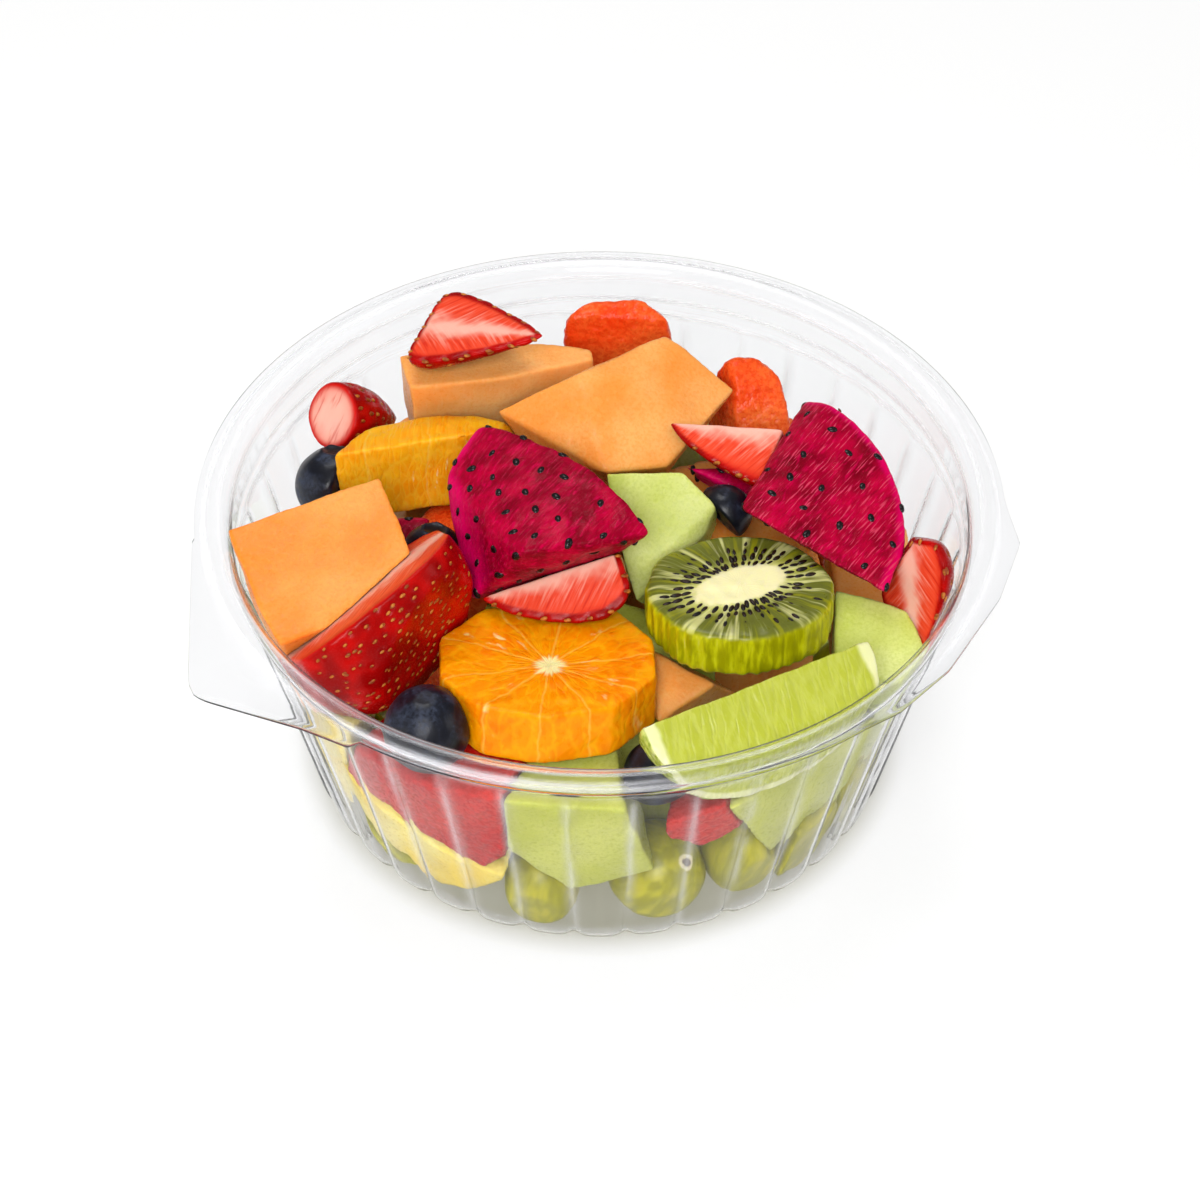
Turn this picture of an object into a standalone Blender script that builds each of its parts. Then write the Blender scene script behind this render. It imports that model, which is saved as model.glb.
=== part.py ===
"""Fruit salad in its clear fluted plastic bowl.

The bowl is one thin turned shell with flutes, a rolled rim and two lifting tabs. Every piece of fruit is
a convex solid of its own. The pieces are laid in order of importance: each later piece is pressed flat
where it would run into an earlier one, and all of them are kept inside the bowl's wall.
Lengths are in millimetres, times MM for Blender. +Z is up, -Y is the front, the origin is under the
middle of the bowl's foot.
"""

import math

import bmesh
import bpy
import numpy as np
from mathutils import Vector

MM = 0.001

# Bowl
WALL = 0.7
FLUTES = 36
COLUMNS_PER_FLUTE = 3
FLUTE_PHASE = -5.0
FOOT_RADIUS = 61.0
WALL_FOOT = (64.5, 3.5)
WALL_TOP = (78.2, 60.0)
LEDGE = (79.9, 61.6)
BAND_TOP = (80.4, 69.2)
BEAD = ((81.4, 71.6), (83.3, 72.65), (85.1, 71.7), (85.9, 70.75))
FLANGE_RADIUS = 88.0
FLANGE_HEIGHT = 70.75
LEFT_TAB = ((-87.5, -13.4), (-86.2, -32.1), (-84.4, -56.5), (-82.8, -60.3), (-80.0, -62.0),
                (-60.5, -69.7),
            (-50.2, -75.1))
RIGHT_TAB = ((50.3, -71.9), (60.9, -65.1), (71.9, -53.0), (84.2, -31.5), (90.2, -14.4), (88.6, -5.4),
             (87.7, 2.7))

# Gaps between neighbours
GAP = 0.3
WALL_CLEARANCE = 0.5
FLOOR = WALL + 0.3

# Sizes of the turned fruit
SIDES_ROUND = 14
RINGS_ROUND = 8

COLOURS = {
    "clear_plastic": (0.92, 0.93, 0.95),
    "cantaloupe": (0.95, 0.42, 0.10),
    "strawberry": (0.75, 0.03, 0.02),
    "watermelon": (0.88, 0.12, 0.05),
    "blueberry": (0.03, 0.04, 0.08),
    "orange": (0.95, 0.33, 0.01),
    "dragonfruit": (0.55, 0.01, 0.08),
    "honeydew": (0.66, 0.75, 0.25),
    "kiwi": (0.45, 0.50, 0.08),
    "lime": (0.60, 0.68, 0.15),
    "grape": (0.45, 0.47, 0.06),
    "yellow_melon": (0.90, 0.78, 0.28),
}


def clear_scene():
    for obj in list(bpy.data.objects):
        bpy.data.objects.remove(obj, do_unlink=True)


def material(name):
    """The shared Principled material of one kind of fruit, or of the bowl."""
    if name in bpy.data.materials:
        return bpy.data.materials[name]
    made = bpy.data.materials.new(name)
    made.use_nodes = True
    shader = made.node_tree.nodes["Principled BSDF"]
    shader.inputs["Base Color"].default_value = (*COLOURS[name], 1.0)
    shader.inputs["Roughness"].default_value = 0.12 if name == "clear_plastic" else 0.35
    shader.inputs["Metallic"].default_value = 0.0
    if name == "clear_plastic":
        shader.inputs["Alpha"].default_value = 0.25
    return made


def object_of(name, mesh_data, kind):
    """Puts a finished bmesh in the scene as one named object."""
    mesh = bpy.data.meshes.new(name)
    mesh_data.to_mesh(mesh)
    mesh_data.free()
    mesh.materials.append(material(kind))
    obj = bpy.data.objects.new(name, mesh)
    bpy.context.scene.collection.objects.link(obj)
    return obj


# The bowl


def bowl_profile():
    """The middle line of the wall, from the foot to the flange, as (radius, height, flute depth)."""
    line = [(FOOT_RADIUS, 0.35, 0.6), (63.4, 1.1, 1.5), (*WALL_FOOT, 1.8), (*WALL_TOP, 0.8)]
    line += [(*LEDGE, 0.0), (*BAND_TOP, 0.0)]
    line += [(radius, height - 0.35, 0.0) for radius, height in BEAD]
    return line


def flute(angle):
    """0 on the crease between two flutes, 1 on the crown of a flute."""
    turn = (math.degrees(angle) - FLUTE_PHASE) * FLUTES / 360.0
    return abs(math.sin(math.pi * turn))


def outline_radius(angle, outline):
    """How far out a tab's outline is along a ray from the bowl's axis, or 0 where the ray misses it."""
    direction = Vector((math.cos(angle), math.sin(angle)))
    reach = 0.0
    for start, end in zip(outline, outline[1:]):
        start, side = Vector(start), Vector(end) - Vector(start)
        across = direction.x * side.y - direction.y * side.x
        if abs(across) < 1e-9:
            continue
        distance = (start.x * side.y - start.y * side.x) / across
        share = (start.x * direction.y - start.y * direction.x) / across
        if distance > 0.0 and -1e-6 <= share <= 1.0 + 1e-6:
            reach = max(reach, distance)
    return reach


def flange_edge(angle):
    return max(FLANGE_RADIUS, outline_radius(angle, LEFT_TAB), outline_radius(angle, RIGHT_TAB))


def side_of_profile(line, offset):
    """The profile moved sideways by half the wall, each point along its mean normal."""
    moved = []
    for index, (radius, height, depth) in enumerate(line):
        before = line[max(index - 1, 0)]
        after = line[min(index + 1, len(line) - 1)]
        tangent = Vector((after[0] - before[0], after[1] - before[1])).normalized()
        moved.append((radius + tangent.y * offset, height - tangent.x * offset, depth))
    return moved


def bowl():
    line = bowl_profile()
    half = WALL / 2.0
    under = [(radius, 0.0 if index == 0 else height, depth)
             for index, (radius, height, depth) in enumerate(side_of_profile(line, half))]
    over = side_of_profile(line, -half)
    columns = FLUTES * COLUMNS_PER_FLUTE
    mesh = bmesh.new()

    def ring(radius, height, depth):
        made = []
        for column in range(columns):
            angle = math.radians(FLUTE_PHASE) + math.tau * column / columns
            reach = (flange_edge(angle) if radius is None else radius + depth * flute(angle)) * MM
            made.append(mesh.verts.new((reach * math.cos(angle), reach * math.sin(angle), height * MM)))
        return made

    edge = [(None, FLANGE_HEIGHT - half, 0.0), (None, FLANGE_HEIGHT + half, 0.0)]
    rings = [ring(*place) for place in under + edge + over[::-1]]
    for low, high in zip(rings, rings[1:]):
        for column in range(columns):
            after = (column + 1) % columns
            mesh.faces.new((low[column], low[after], high[after], high[column]))
    for end, height, turned in ((rings[0], 0.0, True), (rings[-1], WALL, False)):
        centre = mesh.verts.new((0.0, 0.0, height * MM))
        for column in range(columns):
            after = (column + 1) % columns
            corners = (end[after], end[column], centre) if turned else (end[column], end[after], centre)
            mesh.faces.new(corners)
    bmesh.ops.recalc_face_normals(mesh, faces=mesh.faces[:])
    obj = object_of("bowl", mesh, "clear_plastic")
    obj.data.shade_smooth()
    obj.data.set_sharp_from_angle(angle=math.radians(35.0))
    return obj


# Shapes of the fruit, as clouds of corner points whose convex hull is the piece


def frame_of(along, up):
    """Right-handed axes with X along the piece and Z as near to up as X allows."""
    x_axis = Vector(along).normalized()
    z_axis = (Vector(up) - x_axis * Vector(up).dot(x_axis)).normalized()
    return x_axis, z_axis.cross(x_axis), z_axis


def placed(points, centre, along, up):
    x_axis, y_axis, z_axis = frame_of(along, up)
    return [Vector(centre) + x_axis * x + y_axis * y + z_axis * z for x, y, z in points]


def chunk(corners, into, taper=0.92):
    """A knife-cut chunk: the corners that show, and the same carried into the heap, drawn in a little."""
    shown = [Vector(corner) for corner in corners]
    middle = sum(shown, Vector()) / len(shown)
    return shown + [middle + (corner - middle) * taper + Vector(into) for corner in shown]


def ball(centre, radii, along=(1, 0, 0), up=(0, 0, 1)):
    """A berry or a grape: an ellipsoid with the given half-lengths."""
    points = [(radii[0], 0.0, 0.0), (-radii[0], 0.0, 0.0)]
    for ring in range(1, RINGS_ROUND):
        lean = math.pi * ring / RINGS_ROUND
        for side in range(SIDES_ROUND):
            turn = math.tau * (side + 0.5 * (ring % 2)) / SIDES_ROUND
            points.append((radii[0] * math.cos(lean), radii[1] * math.sin(lean) * math.cos(turn),
                           radii[2] * math.sin(lean) * math.sin(turn)))
    return placed(points, centre, along, up)


# Half-width of a strawberry against its place from the stem end to the tip: long-pointed, coned and blunt
BERRY_PROFILE = ((0.0, 0.62), (0.08, 0.87), (0.22, 1.0), (0.42, 0.94), (0.62, 0.75), (0.80, 0.50),
                 (0.93, 0.26), (1.0, 0.06))
CONE_PROFILE = ((0.0, 0.80), (0.05, 0.96), (0.15, 1.0), (0.35, 0.86), (0.6, 0.6), (0.85, 0.30), (1.0, 0.06))
BLUNT_PROFILE = ((0.0, 0.36), (0.06, 0.62), (0.18, 0.88), (0.38, 1.0), (0.62, 1.0), (0.80, 0.92),
                 (0.93, 0.74), (1.0, 0.50))


def strawberry(centre, along, up, length, width, depth, sweep=(0.0, 180.0), steps=8, profile=BERRY_PROFILE):
    """Part of a strawberry: stem end at -X, tip at +X, and its cut face looking up.

    sweep is the stretch of skin below the cut face, 0 to 180 for a half and 90 to 180 for a quarter.
    """
    points = []
    for share, girth in profile:
        x = (share - 0.5) * length
        for step in range(steps + 1):
            turn = math.radians(sweep[0] + (sweep[1] - sweep[0]) * step / steps)
            points.append((x, -0.5 * width * girth * math.cos(turn), -depth * girth * math.sin(turn)))
        if sweep[1] - sweep[0] < 179.0:
            points.append((x, 0.0, 0.0))
    return placed(points, centre, along, up)


def strawberry_tip(centre, along, up, length, radius):
    """The pointed end of a strawberry, cut straight across at -X."""
    points = []
    for share, girth in ((0.0, 0.98), (0.25, 1.0), (0.5, 0.83), (0.72, 0.56), (0.9, 0.26), (1.0, 0.06)):
        for side in range(12):
            turn = math.tau * side / 12
            reach = radius * girth
            points.append((share * length, reach * math.cos(turn), reach * math.sin(turn)))
    return placed(points, centre, along, up)


def disc(centre, along, up, radii, thickness, corners, turn=0.0, waves=()):
    """A round slice with knife-cut sides: a many-sided outline with its cut face at local Z = 0."""
    points = []
    for corner in range(corners):
        angle = math.radians(turn) + math.tau * corner / corners
        reach = 1.0 + (waves[corner % len(waves)] if waves else 0.0)
        x, y = radii[0] * reach * math.cos(angle), radii[1] * reach * math.sin(angle)
        points += [(x, y, 0.0), (x * 0.99, y * 0.99, -thickness)]
    return placed(points, centre, along, up)


def wedge(centre, along, up, length, radius, opening, steps=5):
    """A citrus wedge: its ridge lies along X, one cut face looks to -Y, the rind bulges between them."""
    points = []
    for share in (-1.0, -0.88, -0.66, -0.34, 0.0, 0.34, 0.66, 0.90, 1.0):
        blunt = 3.4 if share > 0 else 2.2
        reach = radius * max(1.0 - abs(share) ** blunt, 0.03) ** 0.5
        x = share * length / 2.0
        points.append((x, 0.0, 0.0))
        for step in range(steps + 1):
            turn = math.radians(-90.0 - opening * step / steps)
            points.append((x, reach * math.cos(turn), reach * math.sin(turn)))
    return placed(points, centre, along, up)


def ring_chunk(angle, radius, height, size):
    """A knife-cut block beside the wall, turned to face it; size is its width, depth and height."""
    out = Vector((math.cos(math.radians(angle)), math.sin(math.radians(angle)), 0.0))
    side = Vector((-out.y, out.x, 0.0))
    middle = out * radius + Vector((0, 0, height))
    width, depth, tall = (length / 2.0 for length in size)
    return [middle + side * (width * a) + out * (depth * b) + Vector((0, 0, tall * c))
            for a in (-1, 1) for b in (-1, 1) for c in (-1, 1)]


# The heap, in the order in which its pieces take their room


def top_pieces():
    """What lies on top, seen from the front."""
    return [
        ("strawberry_back", "strawberry",
         strawberry((-26.2, 36.8, 88.3), (0.91, -0.33, 0.16), (-0.20, 0.02, 0.97), 29, 25.5, 7,
                    profile=CONE_PROFILE)),
        ("cantaloupe_back", "cantaloupe",
         chunk([(-45.1, 39.2, 79.5), (-13.5, 42.8, 80), (-2, 40.3, 80), (-1.6, 36.7, 80),
                (-22, 30.6, 79.5), (-42, 28, 79)], (0, 2, -20), 0.96)),
        ("kiwi_slice", "kiwi",
         disc((29.5, -28.6, 72.2), (1, 0.05, 0), (0, 0.10, 1), (20.8, 19.0), 11.5, 16, 8.0,
              (0.0, -0.02, 0.015, -0.01))),
        ("orange_front", "orange",
         disc((-11.0, -43.5, 65.6), (1, 0, 0), (0, 0.15, 1), (23.4, 21.8), 12.5, 10, 18.0,
              (0.0, 0.01, -0.03, 0.0, 0.02))),
        ("strawberry_centre", "strawberry",
         strawberry((-10.4, -25.0, 71.6), (-28.4, -5, -8), (0.1, -0.55, 0.83), 31, 25, 9, (90.0, 180.0))),
        ("dragonfruit_left", "dragonfruit",
         chunk([(-26.5, 10.6, 84), (-17, 5.3, 86), (0, -8.9, 87), (8.4, -20, 85), (11.9, -24.5, 82),
                (-16.2, -31.3, 84), (-33.9, -0.6, 78), (-32.5, -8, 72), (-28, -26, 64), (-24.6, -27, 66),
                (-10, -23.4, 70), (3.8, -22, 74)], (0, 3, -7), 0.75)),
        ("dragonfruit_right", "dragonfruit",
         chunk([(31.3, -17.3, 80), (50.3, 18.4, 84), (56.7, 13.3, 82), (61.7, 6.8, 79), (65.8, -6.2, 76),
                (65.7, -17.2, 73.5), (59.9, -32, 71), (28.8, -12.2, 78),
                (45.2, 23.2, 80)], (-1, 3, -10), 0.88)),
        ("strawberry_front", "strawberry",
         strawberry((-50.0, -30.6, 70.5), (-31, -21, -15), (-0.61, 0.36, 0.70), 44, 38, 23,
                    profile=BLUNT_PROFILE)),
        ("blueberry_front", "blueberry", ball((-35.7, -58.9, 60), (8.8, 9.0, 9.0), (0.2, -0.5, 0.8))),
        ("lime_wedge", "lime",
         wedge((32.0, -58.0, 72.5), (48.6, 25.2, 1.0), (0.16, -0.31, 0.94), 54, 25.5, 76.0)),
        ("strawberry_back_right", "strawberry",
         strawberry((34.0, 13.4, 79.8), (-1, 0.12, -0.02), (0.05, -0.45, 0.9), 37, 30, 12, (90.0, 180.0))),
        ("cantaloupe_centre", "cantaloupe",
         chunk([(-22.7, 19.9, 79), (-4.4, 21.8, 88), (14.5, 37.8, 86), (30.5, 26.6, 82), (14.9, 9.5, 72),
                (1.3, 4.9, 74), (-15.6, 18.8, 68)], (1, 9, -12), 0.9)),
        ("cantaloupe_left", "cantaloupe",
         chunk([(-79.2, -16.5, 77), (-47.3, -2.9, 80), (-36.2, -30.7, 72),
                (-67.6, -43.6, 69)], (-1, 4, -13), 0.95)),
        ("orange_back_left", "orange",
         chunk([(-58.7, 12.1, 73), (-29.7, 15.6, 76), (-52.4, 23.3, 71), (-40.2, 27, 72),
                (-27.9, 26.3, 73), (-17.7, 21, 74)], (0.5, -1.5, -18.5), 0.97)),
        ("honeydew_centre", "honeydew",
         chunk([(1.3, 1.5, 77), (17.9, -0.5, 79), (25, -6.2, 74), (22.9, -7.9, 68), (11.9, -13.9, 65),
                (4.7, -13.1, 66), (7.8, -18, 57)], (2, 9, -12), 0.9)),
        ("watermelon_back", "watermelon",
         chunk([(-8.5, 51.6, 74), (-7.5, 52.1, 80), (-2.7, 54.7, 82), (9.1, 55.8, 82), (15.4, 51.4, 80),
                (16.9, 51.6, 72), (13.8, 47.5, 60), (-5.8, 47.5, 60)], (0, 9, -8.5), 0.96)),
        ("watermelon_back_right", "watermelon",
         chunk([(25.0, 35.5, 77), (29.0, 40.6, 77), (35.0, 41.2, 77), (40.5, 38, 74), (42.5, 33, 69),
                (43.5, 27, 60), (22.0, 26.0, 60)], (0.5, 9, -8.5), 0.96)),
        ("strawberry_small_left", "strawberry",
         strawberry_tip((-60.5, 33.0, 66.5), (0.60, 0.55, -0.50), (0, 0, 1), 21, 7.7)),
        ("blueberry_back_left", "blueberry", ball((-59.2, 16.8, 60), (8.7, 8.9, 8.9), (0, 0.3, 0.9))),
        ("blueberry_middle", "blueberry", ball((-36.2, -9.3, 63.6), (6.3, 6.6, 6.6), (0.1, 0.2, 0.9))),
        ("dragonfruit_small_left", "dragonfruit",
         chunk([(-46, 1, 65), (-37, 1, 65), (-38, -3, 61), (-46, -3, 61)], (0, 5, -10))),
        ("blueberry_back_right", "blueberry", ball((27.0, -1.4, 68), (6.1, 6.3, 6.3),
                (0.1, -0.75, 0.65))),
        ("dragonfruit_small_right", "dragonfruit",
         chunk([(17.5, 8.6, 73), (21.9, 7.8, 70), (31.8, 5.1, 66), (36, 10.5, 71)], (2, 7, -9))),
        ("strawberry_right", "strawberry",
         strawberry((66.0, -27.5, 65.5), (0.02, -0.5, -0.75), (-0.75, -0.45, 0.4), 28, 21, 8)),
        ("honeydew_right", "honeydew",
         chunk([(46, -22, 66), (59.6, -25.8, 65), (66.3, -28.5, 64), (68.7, -36.9, 61), (64.1, -44.5, 59),
                (50, -42, 60)], (-1, 2, -11), 0.94)),
        ("cantaloupe_front", "cantaloupe",
         chunk([(8, -34, 60), (24, -44, 58), (12.6, -50.4, 53), (6, -46, 56)], (6, 8, -11), 0.95)),
        ("blueberry_front_right", "blueberry", ball((11.6, -63.0, 51), (6.6, 6.8, 6.8), (0, 0.3, 1))),
    ]


def wall_pieces():
    """What shows through the front of the bowl."""
    return [
        ("watermelon_front_left", "watermelon",
         chunk([(-51.6, -52.4, 47.8), (-55.1, -41.4, 28.9), (-43, -53.4, 27.2), (-25.3, -61.8, 19.9),
                (-19.7, -66, 28.8),
                (-21.5, -67.9, 38.7), (-20.4, -72.6, 54), (-37, -65.9, 54)], (7, 11, 3), 0.92)),
        ("honeydew_front", "honeydew",
         chunk([(-25.2, -66.5, 37.7), (-21.1, -72.1, 52), (0, -64.4, 55), (5.4, -67, 51),
                (8.2, -74.9, 52), (13.8, -66.9, 26.3), (0, -67.1, 21.4), (-6.4, -65.8, 17.4),
                (-17.9, -67, 30.8)], (0, 13, 2), 0.92)),
        ("watermelon_front_right", "watermelon",
         chunk([(12.6, -74.9, 46), (25.7, -70.4, 48), (30.1, -63.8, 35.4), (21.4, -67, 32),
                (13.4, -72.7, 40)],
               (2, 13, 0), 0.92)),
        ("honeydew_front_right", "honeydew",
         chunk([(26.4, -69.4, 47), (35.1, -55.8, 16.5), (37.1, -55.5, 20), (54.7, -39.8, 23.4),
                (61, -36, 36), (59.6, -43, 46)], (-8, 10, 2), 0.92)),
        ("yellow_melon_front", "yellow_melon",
         chunk([(-65.5, -29, 41), (-52.8, -50.6, 46.3), (-33.6, -63.2, 39.7), (-18.6, -66.3, 28.8),
                (-21.5, -62.2, 16.2), (-28.4, -57.1, 7.5), (-35.3, -51.6, 4), (-44.1, -46.5, 8.7),
                (-57, -33, 12), (-63.5, -28, 26)], (5, 7, 1), 0.9)),
        ("yellow_melon_left", "yellow_melon",
         chunk([(-61.2, -47.3, 52), (-52.5, -50.2, 50), (-54.9, -46.5, 34), (-62, -36, 30)], (6, 9, 2))),
        ("cantaloupe_low_left", "cantaloupe",
         chunk([(-70, -32, 60), (-58, -50, 60), (-56, -50, 50), (-66, -34, 44)], (9, 8, -4))),
        ("grape_front", "grape", ball((12.2, -54.4, 12.0), (11.0, 10.6, 10.8), (0.5, -0.4, 0.6))),
        ("grape_front_left", "grape", ball((-12.6, -56.6, 10.2), (9.8, 8.4, 8.6), (0.1, 0.3, 1))),
        ("grape_front_right", "grape", ball((31.0, -50.0, 14.0), (10.5, 8.6, 8.6), (0.3, 0.2, 1))),
        ("grape_right", "grape", ball((42.5, -43.0, 13.0), (12.0, 9.4, 9.4), (0.5, 0.4, 0.9))),
        ("grape_far_right", "grape", ball((52.5, -27.0, 12.0), (12.0, 9.4, 9.4), (0.2, 0.7, 0.5))),
        ("grape_left", "grape", ball((-55.0, -22.0, 16.0), (12.0, 9.0, 9.0), (-0.3, 0.3, 1))),
        ("grape_lower_left", "grape", ball((-43.0, -38.0, 11.0), (12.0, 9.2, 9.2), (-0.5, 0.6, 0.3))),
        ("honeydew_low_right", "honeydew",
         chunk([(60, -44, 56), (72, -22, 54), (67, -25, 32), (58, -38, 32)], (-10, 4, 0))),
    ]


def back_pieces():
    """The ring along the wall at the sides and the back, which the bowl shows from behind."""
    return [
        ("grape_low_right", "grape", ball((56.0, 2.0, 11.0), (12.0, 9.4, 9.4), (0.2, 1, 0.2))),
        ("honeydew_low_back", "honeydew", ring_chunk(33, 51, 14, (27, 20, 25))),
        ("grape_low_back_right", "grape", ball((28.0, 50.0, 11.0), (12.0, 9.4, 9.4), (1, -0.5, 0.2))),
        ("cantaloupe_low_back", "cantaloupe", ring_chunk(92, 51, 14, (30, 20, 24))),
        ("grape_low_back_left", "grape", ball((-29.0, 49.0, 11.0), (12.0, 9.4, 9.4), (1, 0.6, 0.1))),
        ("watermelon_low_back_left", "watermelon", ring_chunk(146, 51, 14, (26, 20, 25))),
        ("grape_low_left", "grape", ball((-56.0, 3.0, 11.0), (12.0, 9.4, 9.4), (0.1, 1, 0.2))),
        ("cantaloupe_middle_right", "cantaloupe", ring_chunk(2, 61, 36, (32, 18, 20))),
        ("watermelon_middle_back", "watermelon", ring_chunk(38, 60, 38, (33, 18, 20))),
        ("honeydew_middle_back", "honeydew", ring_chunk(73, 58, 41, (32, 18, 27))),
        ("strawberry_middle_back", "strawberry",
         strawberry((-14.0, 60.0, 41.0), (-1, -0.2, 0.1), (0, -1, 0.2), 36, 30, 12)),
        ("cantaloupe_middle_back", "cantaloupe", ring_chunk(132, 57, 40, (32, 18, 26))),
        ("honeydew_middle_left", "honeydew", ring_chunk(172, 60, 38, (32, 18, 26))),
    ]


def core_pieces():
    """The blocks in the middle that carry the rest."""
    return [
        ("honeydew_core_front", "honeydew", ring_chunk(270, 27, 30, (50, 34, 56))),
        ("cantaloupe_core_right", "cantaloupe", ring_chunk(20, 27, 31, (38, 36, 58))),
        ("watermelon_core_left", "watermelon", ring_chunk(160, 27, 31, (38, 36, 58))),
        ("cantaloupe_core_back", "cantaloupe", ring_chunk(90, 27, 31, (30, 34, 58))),
    ]


# Pressing the pieces together


def hull_of(points):
    mesh = bmesh.new()
    for point in points:
        mesh.verts.new(Vector(point) * MM)
    made = bmesh.ops.convex_hull(mesh, input=mesh.verts[:])
    spare = made["geom_interior"] + made["geom_unused"]
    inside = [item for item in spare if isinstance(item, bmesh.types.BMVert)]
    bmesh.ops.delete(mesh, geom=list(set(inside)), context="VERTS")
    tidy(mesh)
    return mesh


def tidy(mesh):
    """Joins corners that lie on top of each other and flat neighbours into one face."""
    bmesh.ops.remove_doubles(mesh, verts=mesh.verts[:], dist=0.05 * MM)
    bmesh.ops.dissolve_limit(mesh, angle_limit=math.radians(0.5), verts=mesh.verts[:], edges=mesh.edges[:])
    bmesh.ops.recalc_face_normals(mesh, faces=mesh.faces[:])
    mesh.normal_update()


def cut_flat(mesh, normal, height):
    """Keeps what lies beyond the plane normal . x = height (in millimetres) and closes the cut."""
    bmesh.ops.bisect_plane(mesh, geom=mesh.verts[:] + mesh.edges[:] + mesh.faces[:], dist=0.001 * MM,
                           plane_co=Vector(normal) * height * MM, plane_no=Vector(normal), clear_inner=True)
    rim = [edge for edge in mesh.edges if edge.is_boundary]
    if rim:
        bmesh.ops.holes_fill(mesh, edges=rim, sides=0)
    tidy(mesh)


def corners_of(mesh):
    return np.array([vert.co[:] for vert in mesh.verts]) / MM


def directions_of(mesh):
    return np.array([face.normal[:] for face in mesh.faces])


def wall_planes():
    """The flat faces, one at each crease, that together are the room inside the wall."""
    slope = (WALL_TOP[0] - WALL_FOOT[0]) / (WALL_TOP[1] - WALL_FOOT[1])
    radius = WALL_FOOT[0] - WALL_FOOT[1] * slope - WALL - WALL_CLEARANCE
    long = math.hypot(1.0, slope)
    for crease in range(FLUTES):
        angle = math.radians(FLUTE_PHASE + 360.0 * crease / FLUTES)
        yield np.array((-math.cos(angle), -math.sin(angle), slope)) / long, -radius / long


def keep_in_bowl(mesh):
    for normal, height in wall_planes():
        if (corners_of(mesh) @ normal).min() < height - 1e-3:
            cut_flat(mesh, normal, height)
    if corners_of(mesh)[:, 2].min() < FLOOR - 1e-3:
        cut_flat(mesh, (0.0, 0.0, 1.0), FLOOR)


def best_cut(corners, own_directions, other, other_directions):
    """The plane that clears a piece of its neighbour at the least loss, or None where they are apart."""
    between = corners.mean(axis=0) - other.mean(axis=0)
    choices = np.vstack([other_directions, -own_directions, between[None] / np.linalg.norm(between)])
    heights = (choices @ other.T).max(axis=1) + GAP
    depths = heights - (choices @ corners.T).min(axis=1)
    if depths.min() <= 0.0:
        return None
    middle = corners.mean(axis=0)
    samples = np.vstack([middle + (corners - middle) * share for share in (1.0, 0.8, 0.6, 0.4, 0.2)])
    lost = ((choices @ samples.T) < heights[:, None]).mean(axis=1)
    best = int(np.argmin(lost + 0.002 * depths))
    return choices[best], heights[best]


def build_heap():
    """Makes the pieces in order, each one cut clear of the bowl and of the pieces before it."""
    placed_pieces = []
    for name, kind, points in top_pieces() + wall_pieces() + back_pieces() + core_pieces():
        mesh = hull_of(points)
        keep_in_bowl(mesh)
        for other, other_directions in placed_pieces:
            cut = best_cut(corners_of(mesh), directions_of(mesh), other, other_directions)
            if cut is not None:
                cut_flat(mesh, *cut)
        placed_pieces.append((corners_of(mesh), directions_of(mesh)))
        object_of(name, mesh, kind)


def main():
    clear_scene()
    bowl()
    build_heap()


if __name__ == "__main__":
    main()
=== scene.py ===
import logging
import math
from dataclasses import dataclass, field
from enum import Enum
from typing import Any, ClassVar, Union

import bpy
import numpy as np
from mathutils import Matrix, Vector


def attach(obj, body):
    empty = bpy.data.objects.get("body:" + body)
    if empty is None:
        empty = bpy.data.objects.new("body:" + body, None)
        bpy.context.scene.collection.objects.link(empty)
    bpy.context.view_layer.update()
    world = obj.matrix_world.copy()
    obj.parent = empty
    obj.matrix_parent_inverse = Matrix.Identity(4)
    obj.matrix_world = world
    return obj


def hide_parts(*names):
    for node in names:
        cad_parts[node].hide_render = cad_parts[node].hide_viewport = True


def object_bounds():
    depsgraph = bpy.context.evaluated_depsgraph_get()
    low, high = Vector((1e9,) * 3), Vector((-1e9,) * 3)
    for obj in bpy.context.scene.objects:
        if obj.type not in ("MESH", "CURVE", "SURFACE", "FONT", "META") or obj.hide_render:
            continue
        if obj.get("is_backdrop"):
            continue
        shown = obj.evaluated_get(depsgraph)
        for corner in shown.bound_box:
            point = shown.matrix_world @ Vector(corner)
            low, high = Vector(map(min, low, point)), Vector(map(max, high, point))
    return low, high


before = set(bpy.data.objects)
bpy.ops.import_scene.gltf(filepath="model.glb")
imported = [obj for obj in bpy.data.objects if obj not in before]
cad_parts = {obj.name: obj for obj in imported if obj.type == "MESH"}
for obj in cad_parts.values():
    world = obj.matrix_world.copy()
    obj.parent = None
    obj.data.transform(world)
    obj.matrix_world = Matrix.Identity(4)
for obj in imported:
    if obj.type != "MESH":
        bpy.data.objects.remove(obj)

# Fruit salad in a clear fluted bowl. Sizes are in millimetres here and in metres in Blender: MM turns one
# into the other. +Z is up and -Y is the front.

MM = 0.001
MAIN, SEEDS = 0, 1  # the numbers of a piece's materials
Point = tuple[float, float, float]
Array = np.ndarray
Ring = tuple[Array, float]  # the radii of a ring of points and its height
log = logging.getLogger("fruit_salad")


def paint(red: float, green: float, blue: float) -> tuple[float, float, float, float]:
    """Turns a colour as a screen shows it, 0 to 255, into Blender's linear colour.

    Args:
        red: red part, 0 to 255.
        green: green part, 0 to 255.
        blue: blue part, 0 to 255.

    Returns:
        The linear colour with full alpha.
    """
    shown = [part / 255.0 for part in (red, green, blue)]
    linear = [part / 12.92 if part <= 0.04045 else ((part + 0.055) / 1.055) ** 2.4 for part in shown]
    return (linear[0], linear[1], linear[2], 1.0)


# Shader maths


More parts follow.
